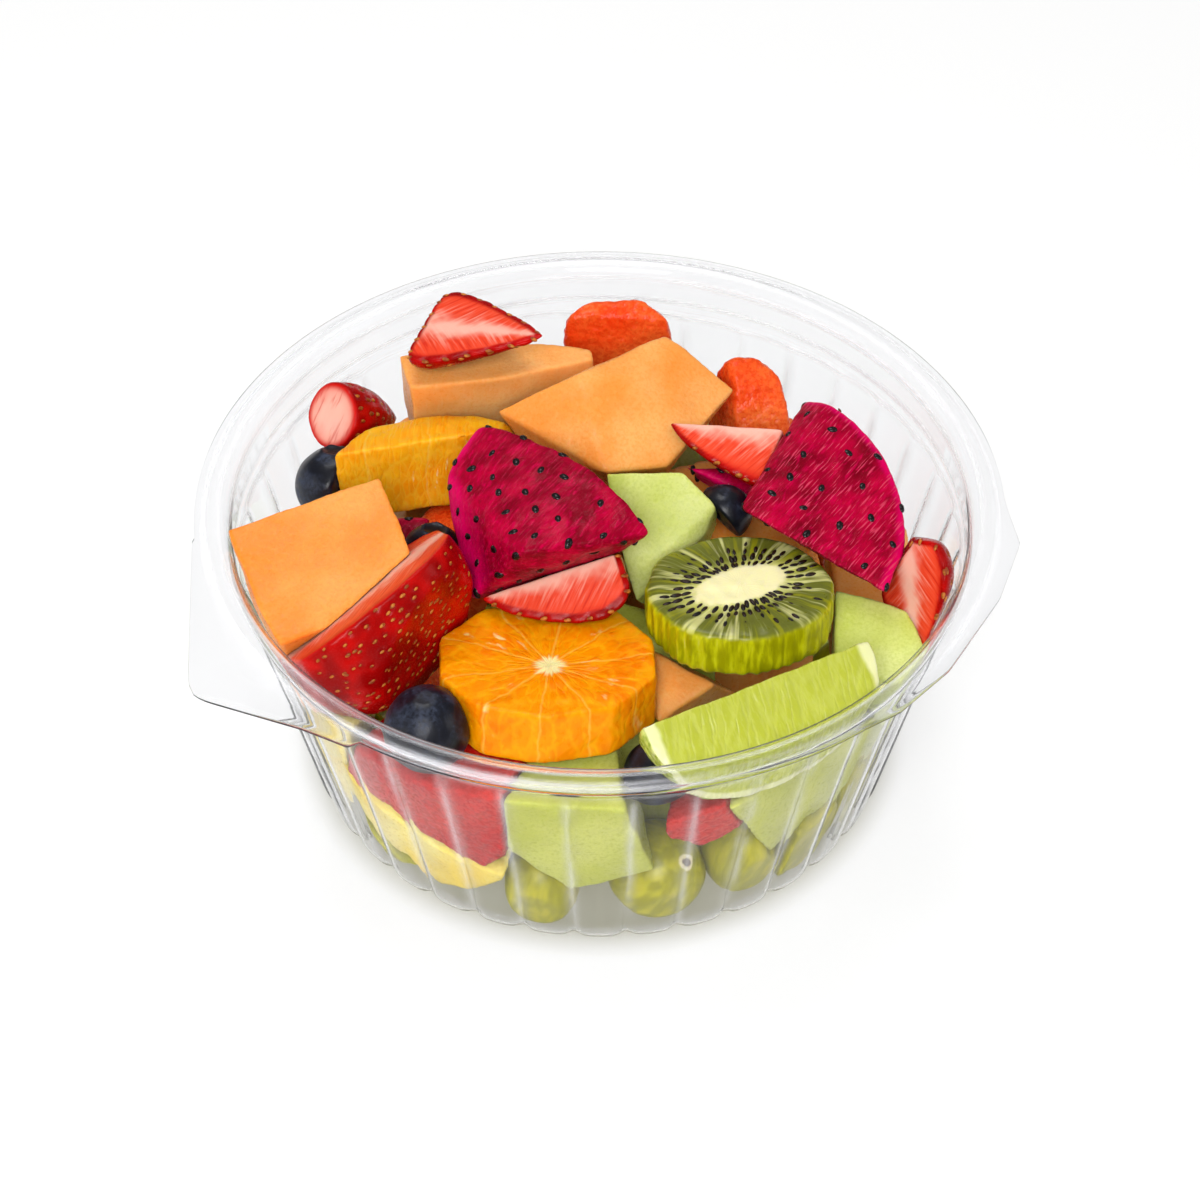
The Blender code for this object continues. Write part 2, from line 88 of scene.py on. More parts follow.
class Value:
    """One output of a shader node; Python's operators on it add Math nodes."""

    def __init__(self, shader: "Shader", socket: bpy.types.NodeSocket) -> None:
        """Keeps the shader that the socket belongs to, and the socket."""
        self.shader = shader
        self.socket = socket

    def __add__(self, other: "Operand") -> "Value":
        """Sum."""
        return self.shader.math("ADD", self, other)

    __radd__ = __add__

    def __sub__(self, other: "Operand") -> "Value":
        """Difference."""
        return self.shader.math("SUBTRACT", self, other)

    def __rsub__(self, other: "Operand") -> "Value":
        """Difference from a number."""
        return self.shader.math("SUBTRACT", other, self)

    def __mul__(self, other: "Operand") -> "Value":
        """Product."""
        return self.shader.math("MULTIPLY", self, other)

    __rmul__ = __mul__

    def __truediv__(self, other: "Operand") -> "Value":
        """Quotient."""
        return self.shader.math("DIVIDE", self, other)

    def __rtruediv__(self, other: "Operand") -> "Value":
        """Quotient of a number by this value."""
        return self.shader.math("DIVIDE", other, self)

    def __pow__(self, other: "Operand") -> "Value":
        """Power."""
        return self.shader.math("POWER", self, other)

    def magnitude(self) -> "Value":
        """Size without its sign."""
        return self.shader.math("ABSOLUTE", self)

    def larger(self, other: "Operand") -> "Value":
        """The larger of the two."""
        return self.shader.math("MAXIMUM", self, other)

    def smaller(self, other: "Operand") -> "Value":
        """The smaller of the two."""
        return self.shader.math("MINIMUM", self, other)

    def fraction(self) -> "Value":
        """What is left after the whole number below."""
        return self.shader.math("FRACT", self)

    def rise(self, low: float, high: float) -> "Value":
        """Smooth step from 0 at low to 1 at high, or down where low is above high."""
        return self.shader.step(self, low, high)


Operand = Union[Value, float]


class Shader:
    """A material whose nodes are added by Python expressions."""

    def __init__(self, name: str) -> None:
        """Makes the material with its Principled shader.

        Args:
            name: the material's name.
        """
        self.material = bpy.data.materials.new(name)
        self.material.use_nodes = True
        self.tree = self.material.node_tree
        self.surface = self.tree.nodes["Principled BSDF"]
        self.end = self.tree.nodes["Material Output"]

    def node(self, kind: str, settings: dict[str, Any] | None = None,
             inputs: dict[Union[str, int], Any] | None = None) -> bpy.types.Node:
        """Adds a node.

        Args:
            kind: the node's type.
            settings: its settings, set first; "stops" are a ramp's (place, colour) pairs.
            inputs: the values or links of its sockets, by name or number.

        Returns:
            The new node.
        """
        made = self.tree.nodes.new(kind)
        for key, setting in (settings or {}).items():
            if key == "stops":
                self._set_stops(made, setting)
            else:
                setattr(made, key, setting)
        for key, given in (inputs or {}).items():
            self.feed(made.inputs[key], given)
        return made

    @staticmethod
    def _set_stops(ramp: bpy.types.Node, stops: list[tuple[float, tuple[float, ...]]]) -> None:
        """Gives a colour ramp its stops.

        Args:
            ramp: the Color Ramp node.
            stops: place and colour of each stop, in order.
        """
        elements = ramp.color_ramp.elements
        while len(elements) < len(stops):
            elements.new(0.5)
        for element, (place, colour) in zip(elements, stops):
            element.position, element.color = place, colour

    def feed(self, socket: bpy.types.NodeSocket, given: Any) -> None:
        """Links a value to a socket, or sets the socket to a number or colour.

        Args:
            socket: the input to fill.
            given: a value to link, or a number or colour to set.
        """
        if isinstance(given, Value):
            self.tree.links.new(given.socket, socket)
        else:
            socket.default_value = given

    def math(self, operation: str, *operands: Operand) -> Value:
        """Adds a Math node and returns its output."""
        made = self.node("ShaderNodeMath", {"operation": operation}, dict(enumerate(operands)))
        return Value(self, made.outputs[0])

    def step(self, value: Value, low: float, high: float, start: float = 0.0, end: float = 1.0) -> Value:
        """Smooth step of a value.

        Args:
            value: what is read.
            low: where the step starts.
            high: where it ends; below low for a step down.
            start: the result at low.
            end: the result at high.

        Returns:
            The stepped value.
        """
        if low > high:
            low, high, start, end = high, low, end, start
        made = self.node("ShaderNodeMapRange", {"interpolation_type": "SMOOTHSTEP"},
                         {"Value": value, "From Min": low, "From Max": high, "To Min": start, "To Max": end})
        return Value(self, made.outputs[0])

    def mix(self, share: Operand, first: Any, second: Any) -> Value:
        """Mixes two colours: first where share is 0, second where it is 1."""
        made = self.node("ShaderNodeMix", {"data_type": "RGBA"}, {0: share, 6: first, 7: second})
        return Value(self, made.outputs[2])

    def place(self) -> Value:
        """The point on the surface in the piece's own axes, in millimetres.

        Returns:
            The place as a vector value.
        """
        local = self.node("ShaderNodeTexCoord").outputs["Object"]
        made = self.node("ShaderNodeVectorMath", {"operation": "SCALE"},
                         {0: Value(self, local), "Scale": 1.0 / MM})
        return Value(self, made.outputs[0])

    def split(self, vector: Value) -> tuple[Value, Value, Value]:
        """The three parts of a vector."""
        made = self.node("ShaderNodeSeparateXYZ", None, {0: vector})
        return (Value(self, made.outputs[0]), Value(self, made.outputs[1]), Value(self, made.outputs[2]))

    def along(self, parts: tuple[Value, Value, Value], way: Point) -> Value:
        """How far a point, given by its three parts, lies along a direction."""
        return parts[0] * way[0] + parts[1] * way[1] + parts[2] * way[2]

    def join(self, x: Operand, y: Operand, z: Operand) -> Value:
        """A vector made of three values."""
        return Value(self, self.node("ShaderNodeCombineXYZ", None, {0: x, 1: y, 2: z}).outputs[0])

    def noise(self, where: Value, scale: float, detail: float = 2.0, rough: float = 0.5,
              warp: float = 0.0) -> Value:
        """Cloudy noise of 0 to 1.

        Args:
            where: the point it is read at, in millimetres.
            scale: how many clouds there are to a millimetre.
            detail: how many finer layers it has.
            rough: how strong those are.
            warp: how far it is pulled about.

        Returns:
            The noise.
        """
        made = self.node("ShaderNodeTexNoise", None, {"Vector": where, "Scale": scale, "Detail": detail,
                                                      "Roughness": rough, "Distortion": warp})
        return Value(self, made.outputs[0])

    def cells(self, where: Value) -> Value:
        """Distance to the nearest edge of irregular cells that are one unit wide.

        Args:
            where: where to look the cells up.

        Returns:
            The distance, as a share of a cell.
        """
        made = self.node("ShaderNodeTexVoronoi", {"feature": "DISTANCE_TO_EDGE"},
                         {"Vector": where, "Scale": 1.0})
        return Value(self, made.outputs["Distance"])

    def measure(self, name: str) -> Value:
        """A number that the mesh carries on its points."""
        made = self.node("ShaderNodeAttribute", {"attribute_name": name})
        return Value(self, made.outputs["Fac"])

    def bump(self, height: Value, distance: float, strength: float = 1.0) -> Value:
        """The normal of a surface raised by height times distance, in millimetres.

        Args:
            height: the pattern's height, 0 to 1.
            distance: height of 1, in millimetres.
            strength: share of the bump that is used.

        Returns:
            The normal.
        """
        made = self.node("ShaderNodeBump", None, {"Height": height, "Distance": distance * MM,
                                                  "Strength": strength})
        return Value(self, made.outputs[0])

    def finish(self, **sockets: Any) -> bpy.types.Material:
        """Feeds the Principled shader's sockets, named with _ for a space, and returns the material.

        Args:
            sockets: what each socket gets, by its name.

        Returns:
            The material.
        """
        for name, given in sockets.items():
            self.feed(self.surface.inputs[name.replace("_", " ")], given)
        return self.material


class RoomLight(Shader):
    """The light from all round, brighter from overhead than from low down."""

    def __init__(self, name: str) -> None:
        """Makes the world with its background.

        Args:
            name: the world's name.
        """
        self.world = bpy.data.worlds.new(name)
        self.world.use_nodes = True
        self.tree = self.world.node_tree
        self.surface = self.tree.nodes["Background"]

    def lit(self, strength: float, through: float) -> bpy.types.World:
        """Sets how bright the room is.

        Args:
            strength: its light on the fruit.
            through: its brightness as seen through the plastic.

        Returns:
            The world.
        """
        _, _, height = self.split(Value(self, self.node("ShaderNodeTexCoord").outputs["Generated"]))
        stops = [(0.0, (0.55, 0.55, 0.58, 1.0)), (0.30, (0.72, 0.72, 0.74, 1.0)),
                 (0.62, (0.95, 0.95, 0.96, 1.0)), (1.0, (1.0, 1.0, 1.0, 1.0))]
        sky = self.node("ShaderNodeValToRGB", {"stops": stops}, {0: height})
        path = self.node("ShaderNodeLightPath")
        seen = Value(self, path.outputs["Is Transmission Ray"])
        seen = seen * (1.0 - Value(self, path.outputs["Diffuse Depth"]).smaller(1.0))
        self.feed(self.surface.inputs["Color"], Value(self, sky.outputs[0]))
        self.feed(self.surface.inputs["Strength"], self.step(seen, 0.0, 1.0, strength, through))
        return self.world


# Finishes


@dataclass(frozen=True)
class Depth:
    """How far light goes into a fruit's flesh."""

    share: float = 0.35
    reach: Point = (1.0, 0.5, 0.25)
    scale: float = 2.5

    def sockets(self) -> dict[str, Any]:
        """The Principled shader's subsurface sockets."""
        return {"Subsurface_Weight": self.share, "Subsurface_Radius": self.reach,
                "Subsurface_Scale": self.scale * MM}


@dataclass(frozen=True)
class MelonFinish:
    """Moist cut flesh of a melon, in faint clouds of paler and deeper colour, with a fine wet grain."""

    name: str
    pale: tuple[float, ...]
    deep: tuple[float, ...]
    shade: tuple[float, ...]
    grain: float = 1.4
    coarse: float = 0.05
    gloss: float = 0.32
    depth: Depth = Depth()
    mottle: float = 0.30

    def dress(self) -> bpy.types.Material:
        """Makes the material.

        Returns:
            The finished material.
        """
        shader = Shader(self.name)
        where = shader.place()
        x, y, z = shader.split(where)
        cloud = shader.noise(where, 0.055, 2.0)
        fibre = shader.noise(shader.join(x * 0.9, y * 0.9, z * 0.22), 0.9, 2.0, 0.6)
        speck = shader.noise(where, self.grain, 1.5, 0.65)
        colour = shader.mix(cloud.rise(0.34, 0.68), self.deep, self.pale)
        colour = shader.mix(fibre.rise(0.50, 0.74) * 0.35, colour, self.pale)
        colour = shader.mix(speck.rise(0.62, 0.36) * self.mottle, colour, self.shade)
        relief = fibre * 0.5 + speck * 0.5
        return shader.finish(Base_Color=colour, Roughness=shader.step(speck, 0.3, 0.7, self.gloss - 0.07,
                                                                      self.gloss + 0.12),
                             Normal=shader.bump(relief, self.coarse * 6.0, 0.55),
                             Specular_IOR_Level=0.16, **self.depth.sockets())


@dataclass(frozen=True)
class StrawberryFinish:
    """Glossy red skin, darkened in the seeds' pits as painted shade, and a cut face that runs from a pale
    middle to a red edge.
    """

    name: str = "strawberry_skin_and_flesh"
    across: bool = False
    skin: tuple[float, ...] = paint(200, 10, 6)
    skin_dark: tuple[float, ...] = paint(146, 3, 3)
    # painted shade: the darker red put into the seeds' pits
    pit_shade: tuple[float, ...] = paint(132, 4, 4)
    core: tuple[float, ...] = paint(252, 188, 168)
    flesh: tuple[float, ...] = paint(238, 72, 40)
    edge: tuple[float, ...] = paint(208, 18, 10)
    core_share: tuple[float, float] = (0.44, 0.02)
    depth: Depth = Depth(0.25, (1.0, 0.22, 0.15), 2.0)

    def dress(self) -> bpy.types.Material:
        """Makes the material; the mesh carries cut, girth and the depth of the seeds' pits, where painted
        shade darkens the skin.

        Returns:
            The finished material.
        """
        shader = Shader(self.name)
        where = shader.place()
        x, y, z = shader.split(where)
        cut, girth, pit_shade = shader.measure("cut"), shader.measure("girth"), shader.measure("pit_shade")
        patches = shader.noise(where, 0.12, 2.0)
        skin = shader.mix(patches.rise(0.35, 0.7), self.skin_dark, self.skin)
        # painted shade: the skin darkens towards the bottom of each seed's pit
        skin = shader.mix(pit_shade * 0.55, skin, self.pit_shade)
        outward = (y * y + z * z) ** 0.5
        veins = shader.noise(shader.join((x - outward * 0.9) * 0.85, y * 0.10, z * 0.10), 1.1, 2.5, 0.6)
        if self.across:
            veins = shader.noise(shader.join(y * 0.5, z * 0.09, x), 1.1, 2.0, 0.6)
        cloud = shader.noise(where, 0.2, 2.0)
        pale = (girth + (cloud - 0.5) * 0.6).rise(*self.core_share)
        flesh = shader.mix(pale * 0.92, self.flesh, self.core)
        flesh = shader.mix(veins.rise(0.48, 0.68) * girth.rise(0.86, 0.25) * 0.55, flesh, self.core)
        flesh = shader.mix(veins.rise(0.48, 0.34) * girth.rise(0.10, 0.60) * 0.60, flesh, self.edge)
        flesh = shader.mix(girth.rise(0.72, 0.95), flesh, self.edge)
        fine = shader.noise(where, 2.2, 2.0)
        colour = shader.mix(cut, skin, flesh)
        return shader.finish(Base_Color=colour,
                             Roughness=shader.step(cut, 0.0, 1.0, 0.24, 0.36) + fine * 0.06,
                             Normal=shader.bump(fine * 0.4 + veins * cut * 0.8, 0.12, 0.5),
                             Specular_IOR_Level=0.10, Coat_Weight=0.04, Coat_Roughness=0.08,
                             **self.depth.sockets())


@dataclass(frozen=True)
class SeedFinish:
    """Small hard seeds with a slight gloss."""

    name: str
    light: tuple[float, ...]
    dark: tuple[float, ...]
    rough: float = 0.35

    def dress(self) -> bpy.types.Material:
        """Makes the material.

        Returns:
            The finished material.
        """
        shader = Shader(self.name)
        where = shader.place()
        tone = shader.noise(where, 0.9, 1.0)
        streak = shader.noise(where, 4.0, 2.0)
        return shader.finish(Base_Color=shader.mix(tone.rise(0.35, 0.65), self.dark, self.light),
                             Roughness=self.rough + streak * 0.1, Normal=shader.bump(streak, 0.05, 0.4),
                             Specular_IOR_Level=0.3)


@dataclass(frozen=True)
class OrangeFinish:
    """Wet orange segments: long juice cells, thin walls, painted pale highlights on the cells and a small
    pale star in the middle.
    """

    name: str = "orange_segments"
    walls: int = 10
    turn: float = 0.2
    star: bool = True
    middle: tuple[float, float] = (0.6, -3.4)
    pulp: tuple[float, ...] = paint(255, 150, 0)
    juice: tuple[float, ...] = paint(242, 114, 0)
    cell: tuple[float, ...] = paint(255, 184, 20)
    wall: tuple[float, ...] = paint(255, 206, 92)
    pith: tuple[float, ...] = paint(255, 236, 168)
    depth: Depth = Depth(0.40, (1.0, 0.42, 0.05), 3.0)

    def dress(self) -> bpy.types.Material:
        """Makes the material; the star's middle is measured from the piece's own centre.

        Returns:
            The finished material.
        """
        shader = Shader(self.name)
        where = shader.place()
        x, y, z = shader.split(where)
        if self.star:
            x, y = x - self.middle[0], y - self.middle[1]
        radius = (x * x + y * y) ** 0.5
        angle = shader.math("ARCTAN2", x, 0.0 - y)
        wobble = shader.noise(where, 0.12, 2.0) - 0.5
        if self.star:
            along, across = radius, angle * 7.0
            spoke = (angle * (self.walls / math.tau) + self.turn + wobble * 0.35).fraction() - 0.5
            wall = (0.5 - spoke.magnitude()) * radius * (math.tau / self.walls)
        else:
            along, across = z, x * 0.9
            wall = ((x * 0.075 + 0.5 + wobble * 0.3).fraction() - 0.5).magnitude() * 13.0
        cells = shader.cells(shader.join(across * 0.8 + wobble * 1.5, along * 0.20, z * 0.15))
        # painted highlight: a mask of small glints on the juice cells
        painted_glint = shader.noise(shader.join(across * 0.5, along * 0.10, z * 0.10), 1.7, 3.0).rise(0.60, 0.72)
        grain = shader.noise(shader.join(across, along * 0.28, z * 0.28), 1.3, 3.0)
        cloud = shader.noise(where, 0.09, 2.0)
        colour = shader.mix(cloud.rise(0.36, 0.66) * 0.7, self.pulp, self.juice)
        colour = shader.mix(cells.rise(0.16, 0.02) * 0.30, colour, self.cell)
        colour = shader.mix(grain.rise(0.52, 0.76) * 0.45, colour, self.cell)
        colour = shader.mix(grain.rise(0.46, 0.28) * 0.45, colour, self.juice)
        colour = shader.mix(wall.rise(0.38, 0.08) * 0.36, colour, self.wall)
        # painted highlight: the glints are mixed into the base colour in the pith's pale tone
        colour = shader.mix(painted_glint * cloud.rise(0.50, 0.62) * 0.7, colour, self.pith)
        if self.star:
            ray = shader.noise(shader.join(x / radius * 2.6, y / radius * 2.6, 0.0), 1.4, 2.0)
            colour = shader.mix((radius - ray * 6.0).rise(0.6, -1.2) * 0.95, colour, self.pith)
        height = cells.rise(0.0, 0.25) * 0.6 + grain * 0.5 - wall.rise(0.6, 0.1) * 0.3
        return shader.finish(Base_Color=colour, Roughness=0.22 + grain * 0.14,
                             Normal=shader.bump(height, 0.22, 0.6), Specular_IOR_Level=0.08,
                             Coat_Weight=0.03, Coat_Roughness=0.08, **self.depth.sockets())


@dataclass(frozen=True)
class KiwiFinish:
    """Green kiwi flesh: a cream core, with darker and paler rays out to the peeled edge."""

    name: str = "kiwi_flesh"
    core_radii: tuple[float, float] = (10.2, 5.4)
    core_turn: float = 24.0
    rim_radii: tuple[float, float] = (20.8, 19.0)
    core: tuple[float, ...] = paint(250, 240, 184)
    halo: tuple[float, ...] = paint(206, 206, 112)
    flesh: tuple[float, ...] = paint(104, 108, 34)
    ray: tuple[float, ...] = paint(222, 220, 146)
    side: tuple[float, ...] = paint(206, 206, 16)
    shade: tuple[float, ...] = paint(158, 156, 2)
    depth: Depth = Depth(0.40, (0.7, 0.8, 0.15), 2.5)

    def turned(self, x: Any, y: Any) -> tuple[Any, Any]:
        """A place on the face along and across the core; takes shader values, arrays or numbers.

        Args:
            x: how far along the piece's own X axis.
            y: how far along its Y axis.

        Returns:
            The same place along the core's long axis and across it.
        """
        cosine, sine = math.cos(math.radians(self.core_turn)), math.sin(math.radians(self.core_turn))
        return x * cosine + y * sine, y * cosine - x * sine

    def dress(self) -> bpy.types.Material:
        """Makes the material; the cut face is at the piece's own Z = 0.

        Returns:
            The finished material.
        """
        shader = Shader(self.name)
        where = shader.place()
        x, y, z = shader.split(where)
        along, across = self.turned(x, y)
        inner = ((along / self.core_radii[0]) ** 2.0 + (across / self.core_radii[1]) ** 2.0) ** 0.5
        outer = ((x / self.rim_radii[0]) ** 2.0 + (y / self.rim_radii[1]) ** 2.0) ** 0.5
        radius = (x * x + y * y) ** 0.5
        rays = shader.noise(shader.join(x / radius * 5.5, y / radius * 5.5, radius * 0.03), 1.6, 2.0, 0.6)
        cloud = shader.noise(where, 0.5, 3.0)
        halo = inner.rise(1.75, 1.0)
        colour = shader.mix(halo, self.flesh, self.halo)
        colour = shader.mix(rays.rise(0.50, 0.66) * inner.rise(0.95, 1.3) * 0.75, colour, self.ray)
        colour = shader.mix(rays.rise(0.46, 0.34) * inner.rise(1.1, 1.5) * 0.55, colour, self.shade)
        colour = shader.mix((inner + (cloud - 0.5) * 0.35).rise(1.18, 0.92), colour, self.core)
        colour = shader.mix(outer.rise(0.90, 1.0) * 0.7, colour, self.side)
        streaks = shader.noise(shader.join(x * 0.9, y * 0.9, z * 0.18), 0.8, 3.0)
        side = shader.mix(streaks.rise(0.38, 0.68), self.shade, self.side)
        side = shader.mix(streaks.rise(0.62, 0.80) * 0.35, side, self.ray)
        colour = shader.mix(z.rise(-0.5, -1.4), colour, side)
        height = rays * 0.6 + cloud * 0.5
        return shader.finish(Base_Color=colour, Roughness=0.22 + cloud * 0.16,
                             Normal=shader.bump(height, 0.22, 0.6), Specular_IOR_Level=0.22,
                             Coat_Weight=0.03, Coat_Roughness=0.12, **self.depth.sockets())


@dataclass(frozen=True)
class LimeFinish:
    """Pale green pulp in long cells, a cream edge and a thin green rind."""

    name: str = "lime_pulp_and_rind"
    pulp: tuple[float, ...] = paint(182, 188, 62)
    cell: tuple[float, ...] = paint(204, 208, 104)
    pith: tuple[float, ...] = paint(230, 230, 172)
    rind: tuple[float, ...] = paint(150, 164, 44)
    rind_light: tuple[float, ...] = paint(206, 210, 110)
    depth: Depth = Depth(0.45, (0.8, 0.9, 0.2), 2.5)

    def dress(self) -> bpy.types.Material:
        """Makes the material; the mesh carries rim, the distance in from the rind in millimetres.

        Returns:
            The finished material.
        """
        shader = Shader(self.name)
        where = shader.place()
        x, y, z = shader.split(where)
        rim = shader.measure("rim")
        wobble = shader.noise(where, 0.2, 2.0) - 0.5
        inward = (y * y + z * z) ** 0.5
        cells = shader.cells(shader.join((x + inward * 0.25) * 0.50 + wobble, inward * 0.09, 0.0))
        grain = shader.noise(shader.join(x, y * 0.25, z * 0.25), 1.1, 3.0)
        pulp = shader.mix(cells.rise(0.16, 0.02) * 0.30, self.pulp, self.cell)
        pulp = shader.mix(grain.rise(0.48, 0.78) * 0.4, pulp, self.cell)
        colour = shader.mix((rim + wobble * 1.2).rise(2.9, 1.9), pulp, self.pith)
        pores = shader.noise(where, 0.7, 2.0)
        rind = shader.mix(pores.rise(0.35, 0.65), self.rind, self.rind_light)
        colour = shader.mix(rim.rise(0.75, 0.35), colour, rind)
        height = cells.rise(0.0, 0.2) * rim.rise(1.5, 3.0) + pores * 0.3
        return shader.finish(Base_Color=colour, Roughness=0.2 + grain * 0.14,
                             Normal=shader.bump(height, 0.2, 0.5), Specular_IOR_Level=0.22,
                             Coat_Weight=0.03, Coat_Roughness=0.1, **self.depth.sockets())


@dataclass(frozen=True)
class DragonfruitFinish:
    """Wet crimson flesh with short pale strokes that are painted highlights, and pink towards the skin side.
    """

    name: str = "dragonfruit_flesh"
    # share of the painted highlight strokes in the colour; they are bumped too
    glint_strokes: float = 0.16
    flesh: tuple[float, ...] = paint(182, 0, 50)
    dark: tuple[float, ...] = paint(122, 0, 24)
    bright: tuple[float, ...] = paint(212, 0, 74)
    # painted highlight: the pale pink of the glint strokes
    glint_stroke: tuple[float, ...] = paint(218, 70, 100)
    rim: tuple[float, ...] = paint(222, 0, 92)
    stroke_way: Point = (0.57, 0.81, 0.05)
    across_way: Point = (0.80, -0.55, -0.27)
    over_way: Point = (0.20, -0.20, 0.96)
    depth: Depth = Depth(0.15, (1.0, 0.10, 0.25), 2.0)

    def dress(self) -> bpy.types.Material:
        """Makes the material; the mesh carries rim, the distance in from the skin side in millimetres.

        Returns:
            The finished material.
        """
        shader = Shader(self.name)
        where = shader.place()
        parts = shader.split(where)
        rim = shader.measure("rim")
        along, across, over = (shader.along(parts, way)
                               for way in (self.stroke_way, self.across_way, self.over_way))
        fibre = shader.noise(shader.join(along * 0.30, across * 1.2, over * 1.2), 0.9, 2.0, 0.65, 0.4)
        glint_dash = shader.noise(shader.join(along * 0.24, across * 2.9, over * 0.8), 0.9, 1.5, 0.5)
        cloud = shader.noise(where, 0.14, 2.0)
        grain = shader.noise(where, 1.6, 1.0, 0.6)
        colour = shader.mix(cloud.rise(0.3, 0.7), self.dark, self.flesh)
        colour = shader.mix(fibre.rise(0.50, 0.72) * 0.6, colour, self.bright)
        colour = shader.mix(fibre.rise(0.46, 0.28) * 0.5, colour, self.dark)
        colour = shader.mix((rim + (cloud - 0.5) * 2.0).rise(3.0, 0.8), colour, self.rim)
        # painted highlight: short pale glint strokes mixed into the base colour
        colour = shader.mix(glint_dash.rise(0.57, 0.68) * self.glint_strokes, colour, self.glint_stroke)
        return shader.finish(Base_Color=colour, Roughness=0.26 + grain * 0.16,
                             Normal=shader.bump(fibre * 0.6 + glint_dash * self.glint_strokes + grain * 0.3, 0.3, 0.7),
                             Specular_IOR_Level=0.05, Coat_Weight=0.02, Coat_Roughness=0.05,
                             **self.depth.sockets())


@dataclass(frozen=True)
class BerryFinish:
    """Dark blueberry skin under a dusty bloom that is rubbed away in patches."""

    name: str = "blueberry_skin"
    skin: tuple[float, ...] = paint(12, 14, 24)
    bloom: tuple[float, ...] = paint(56, 64, 84)
    crown: tuple[float, ...] = paint(10, 8, 12)

    def dress(self) -> bpy.types.Material:
        """Makes the material; the mesh carries crown.

        Returns:
            The finished material.
        """
        shader = Shader(self.name)
        where = shader.place()
        dust = shader.noise(where, 0.22, 4.0, 0.6, 0.5)
        fine = shader.noise(where, 1.3, 2.0, 0.6)
        cover = dust.rise(0.40, 0.72) * fine.rise(0.25, 0.65)
        colour = shader.mix(cover * 0.85, self.skin, self.bloom)
        colour = shader.mix(shader.measure("crown"), colour, self.crown)
        return shader.finish(Base_Color=colour, Roughness=shader.step(cover, 0.0, 1.0, 0.32, 0.62),
                             Normal=shader.bump(fine, 0.10, 0.5), Specular_IOR_Level=0.3)


@dataclass(frozen=True)
class GrapeFinish:
    """Smooth green grape skin, a little see-through, with a brown scar where the stem was."""

    name: str = "grape_skin"
    skin: tuple[float, ...] = paint(152, 148, 2)
    light: tuple[float, ...] = paint(184, 176, 20)
    scar: tuple[float, ...] = paint(96, 66, 24)
    ring: tuple[float, ...] = paint(226, 214, 170)
    depth: Depth = Depth(0.55, (0.9, 0.9, 0.15), 4.0)

    def dress(self) -> bpy.types.Material:
        """Makes the material; the mesh carries crown, the distance from the stem's scar.

        Returns:
            The finished material.
        """
        shader = Shader(self.name)
        where = shader.place()
        crown = shader.measure("crown")
        x, y, z = shader.split(where)
        veins = shader.noise(shader.join(x * 0.12, y * 0.5, z * 0.5), 0.8, 2.0)
        fine = shader.noise(where, 1.0, 2.0)
        colour = shader.mix(veins.rise(0.38, 0.68), self.skin, self.light)
        colour = shader.mix(crown.rise(2.1, 1.6), colour, self.ring)
        colour = shader.mix(crown.rise(1.25, 0.8), colour, self.scar)
        return shader.finish(Base_Color=colour, Roughness=0.24 + fine * 0.12,
                             Normal=shader.bump(fine, 0.06, 0.4), Specular_IOR_Level=0.3,
                             **self.depth.sockets())


@dataclass(frozen=True)
class ClearPlasticFinish:
    """Clear moulded plastic sheet: hardly seen flat on, with white highlights painted as a pale sheet in the
    flutes' grooves and along the rim.
    """

    name: str = "clear_moulded_plastic"
    tone: tuple[float, ...] = (0.925, 0.927, 0.938, 1.0)
    bend: float = 1.17
    # white of the painted highlights
    highlight_white: tuple[float, ...] = (0.93, 0.93, 0.95, 1.0)
    groove_highlight: float = 0.22
    passing: tuple[float, ...] = (0.77, 0.775, 0.78, 1.0)
    gleam: float = 0.45

    def dress(self) -> bpy.types.Material:
        """Makes the material; the mesh carries groove, and lamps shine through so thin a sheet.

        Returns:
            The finished material.
        """
        shader = Shader(self.name)
        where = shader.place()
        waves = shader.noise(where, 0.05, 2.0)
        haze = shader.noise(where, 0.35, 1.0)
        shader.finish(Base_Color=self.tone, Roughness=haze * 0.04, Normal=shader.bump(waves, 0.6, 0.25),
                      Transmission_Weight=1.0, IOR=self.bend)
        # painted highlight: this pale white shader, mixed in along the grooves and rim rings, stands in for
        # the lamps' highlights
        pale = shader.node("ShaderNodeBsdfPrincipled", None,
                           {"Base Color": self.highlight_white, "Roughness": 0.3 + haze * 0.2})
        x, y, z = shader.split(where)
        streaks = shader.noise(shader.join(x * 0.6, y * 0.6, z * 0.03), 0.5, 2.0)
        # where the painted highlights go: the grooves, broken into streaks, and the bends of ledge and rim
        groove = shader.measure("groove") * self.groove_highlight * streaks.rise(0.30, 0.62)
        runs = shader.noise(shader.join(x * 0.02, y * 0.02, z * 1.2), 1.0, 2.0)
        groove = groove.larger(shader.measure("ring") * self.gleam * runs.rise(0.36, 0.60))
        sheet = shader.node("ShaderNodeMixShader", None,
                            {0: groove, 1: Value(shader, shader.surface.outputs[0]),
                             2: Value(shader, pale.outputs[0])})
        clear = shader.node("ShaderNodeBsdfTransparent", None, {"Color": self.passing})
        shadow = Value(shader, shader.node("ShaderNodeLightPath").outputs["Is Shadow Ray"])
        both = shader.node("ShaderNodeMixShader", None, {0: shadow, 1: Value(shader, sheet.outputs[0]),
                                                         2: Value(shader, clear.outputs[0])})
        shader.feed(shader.end.inputs["Surface"], Value(shader, both.outputs[0]))
        return shader.material


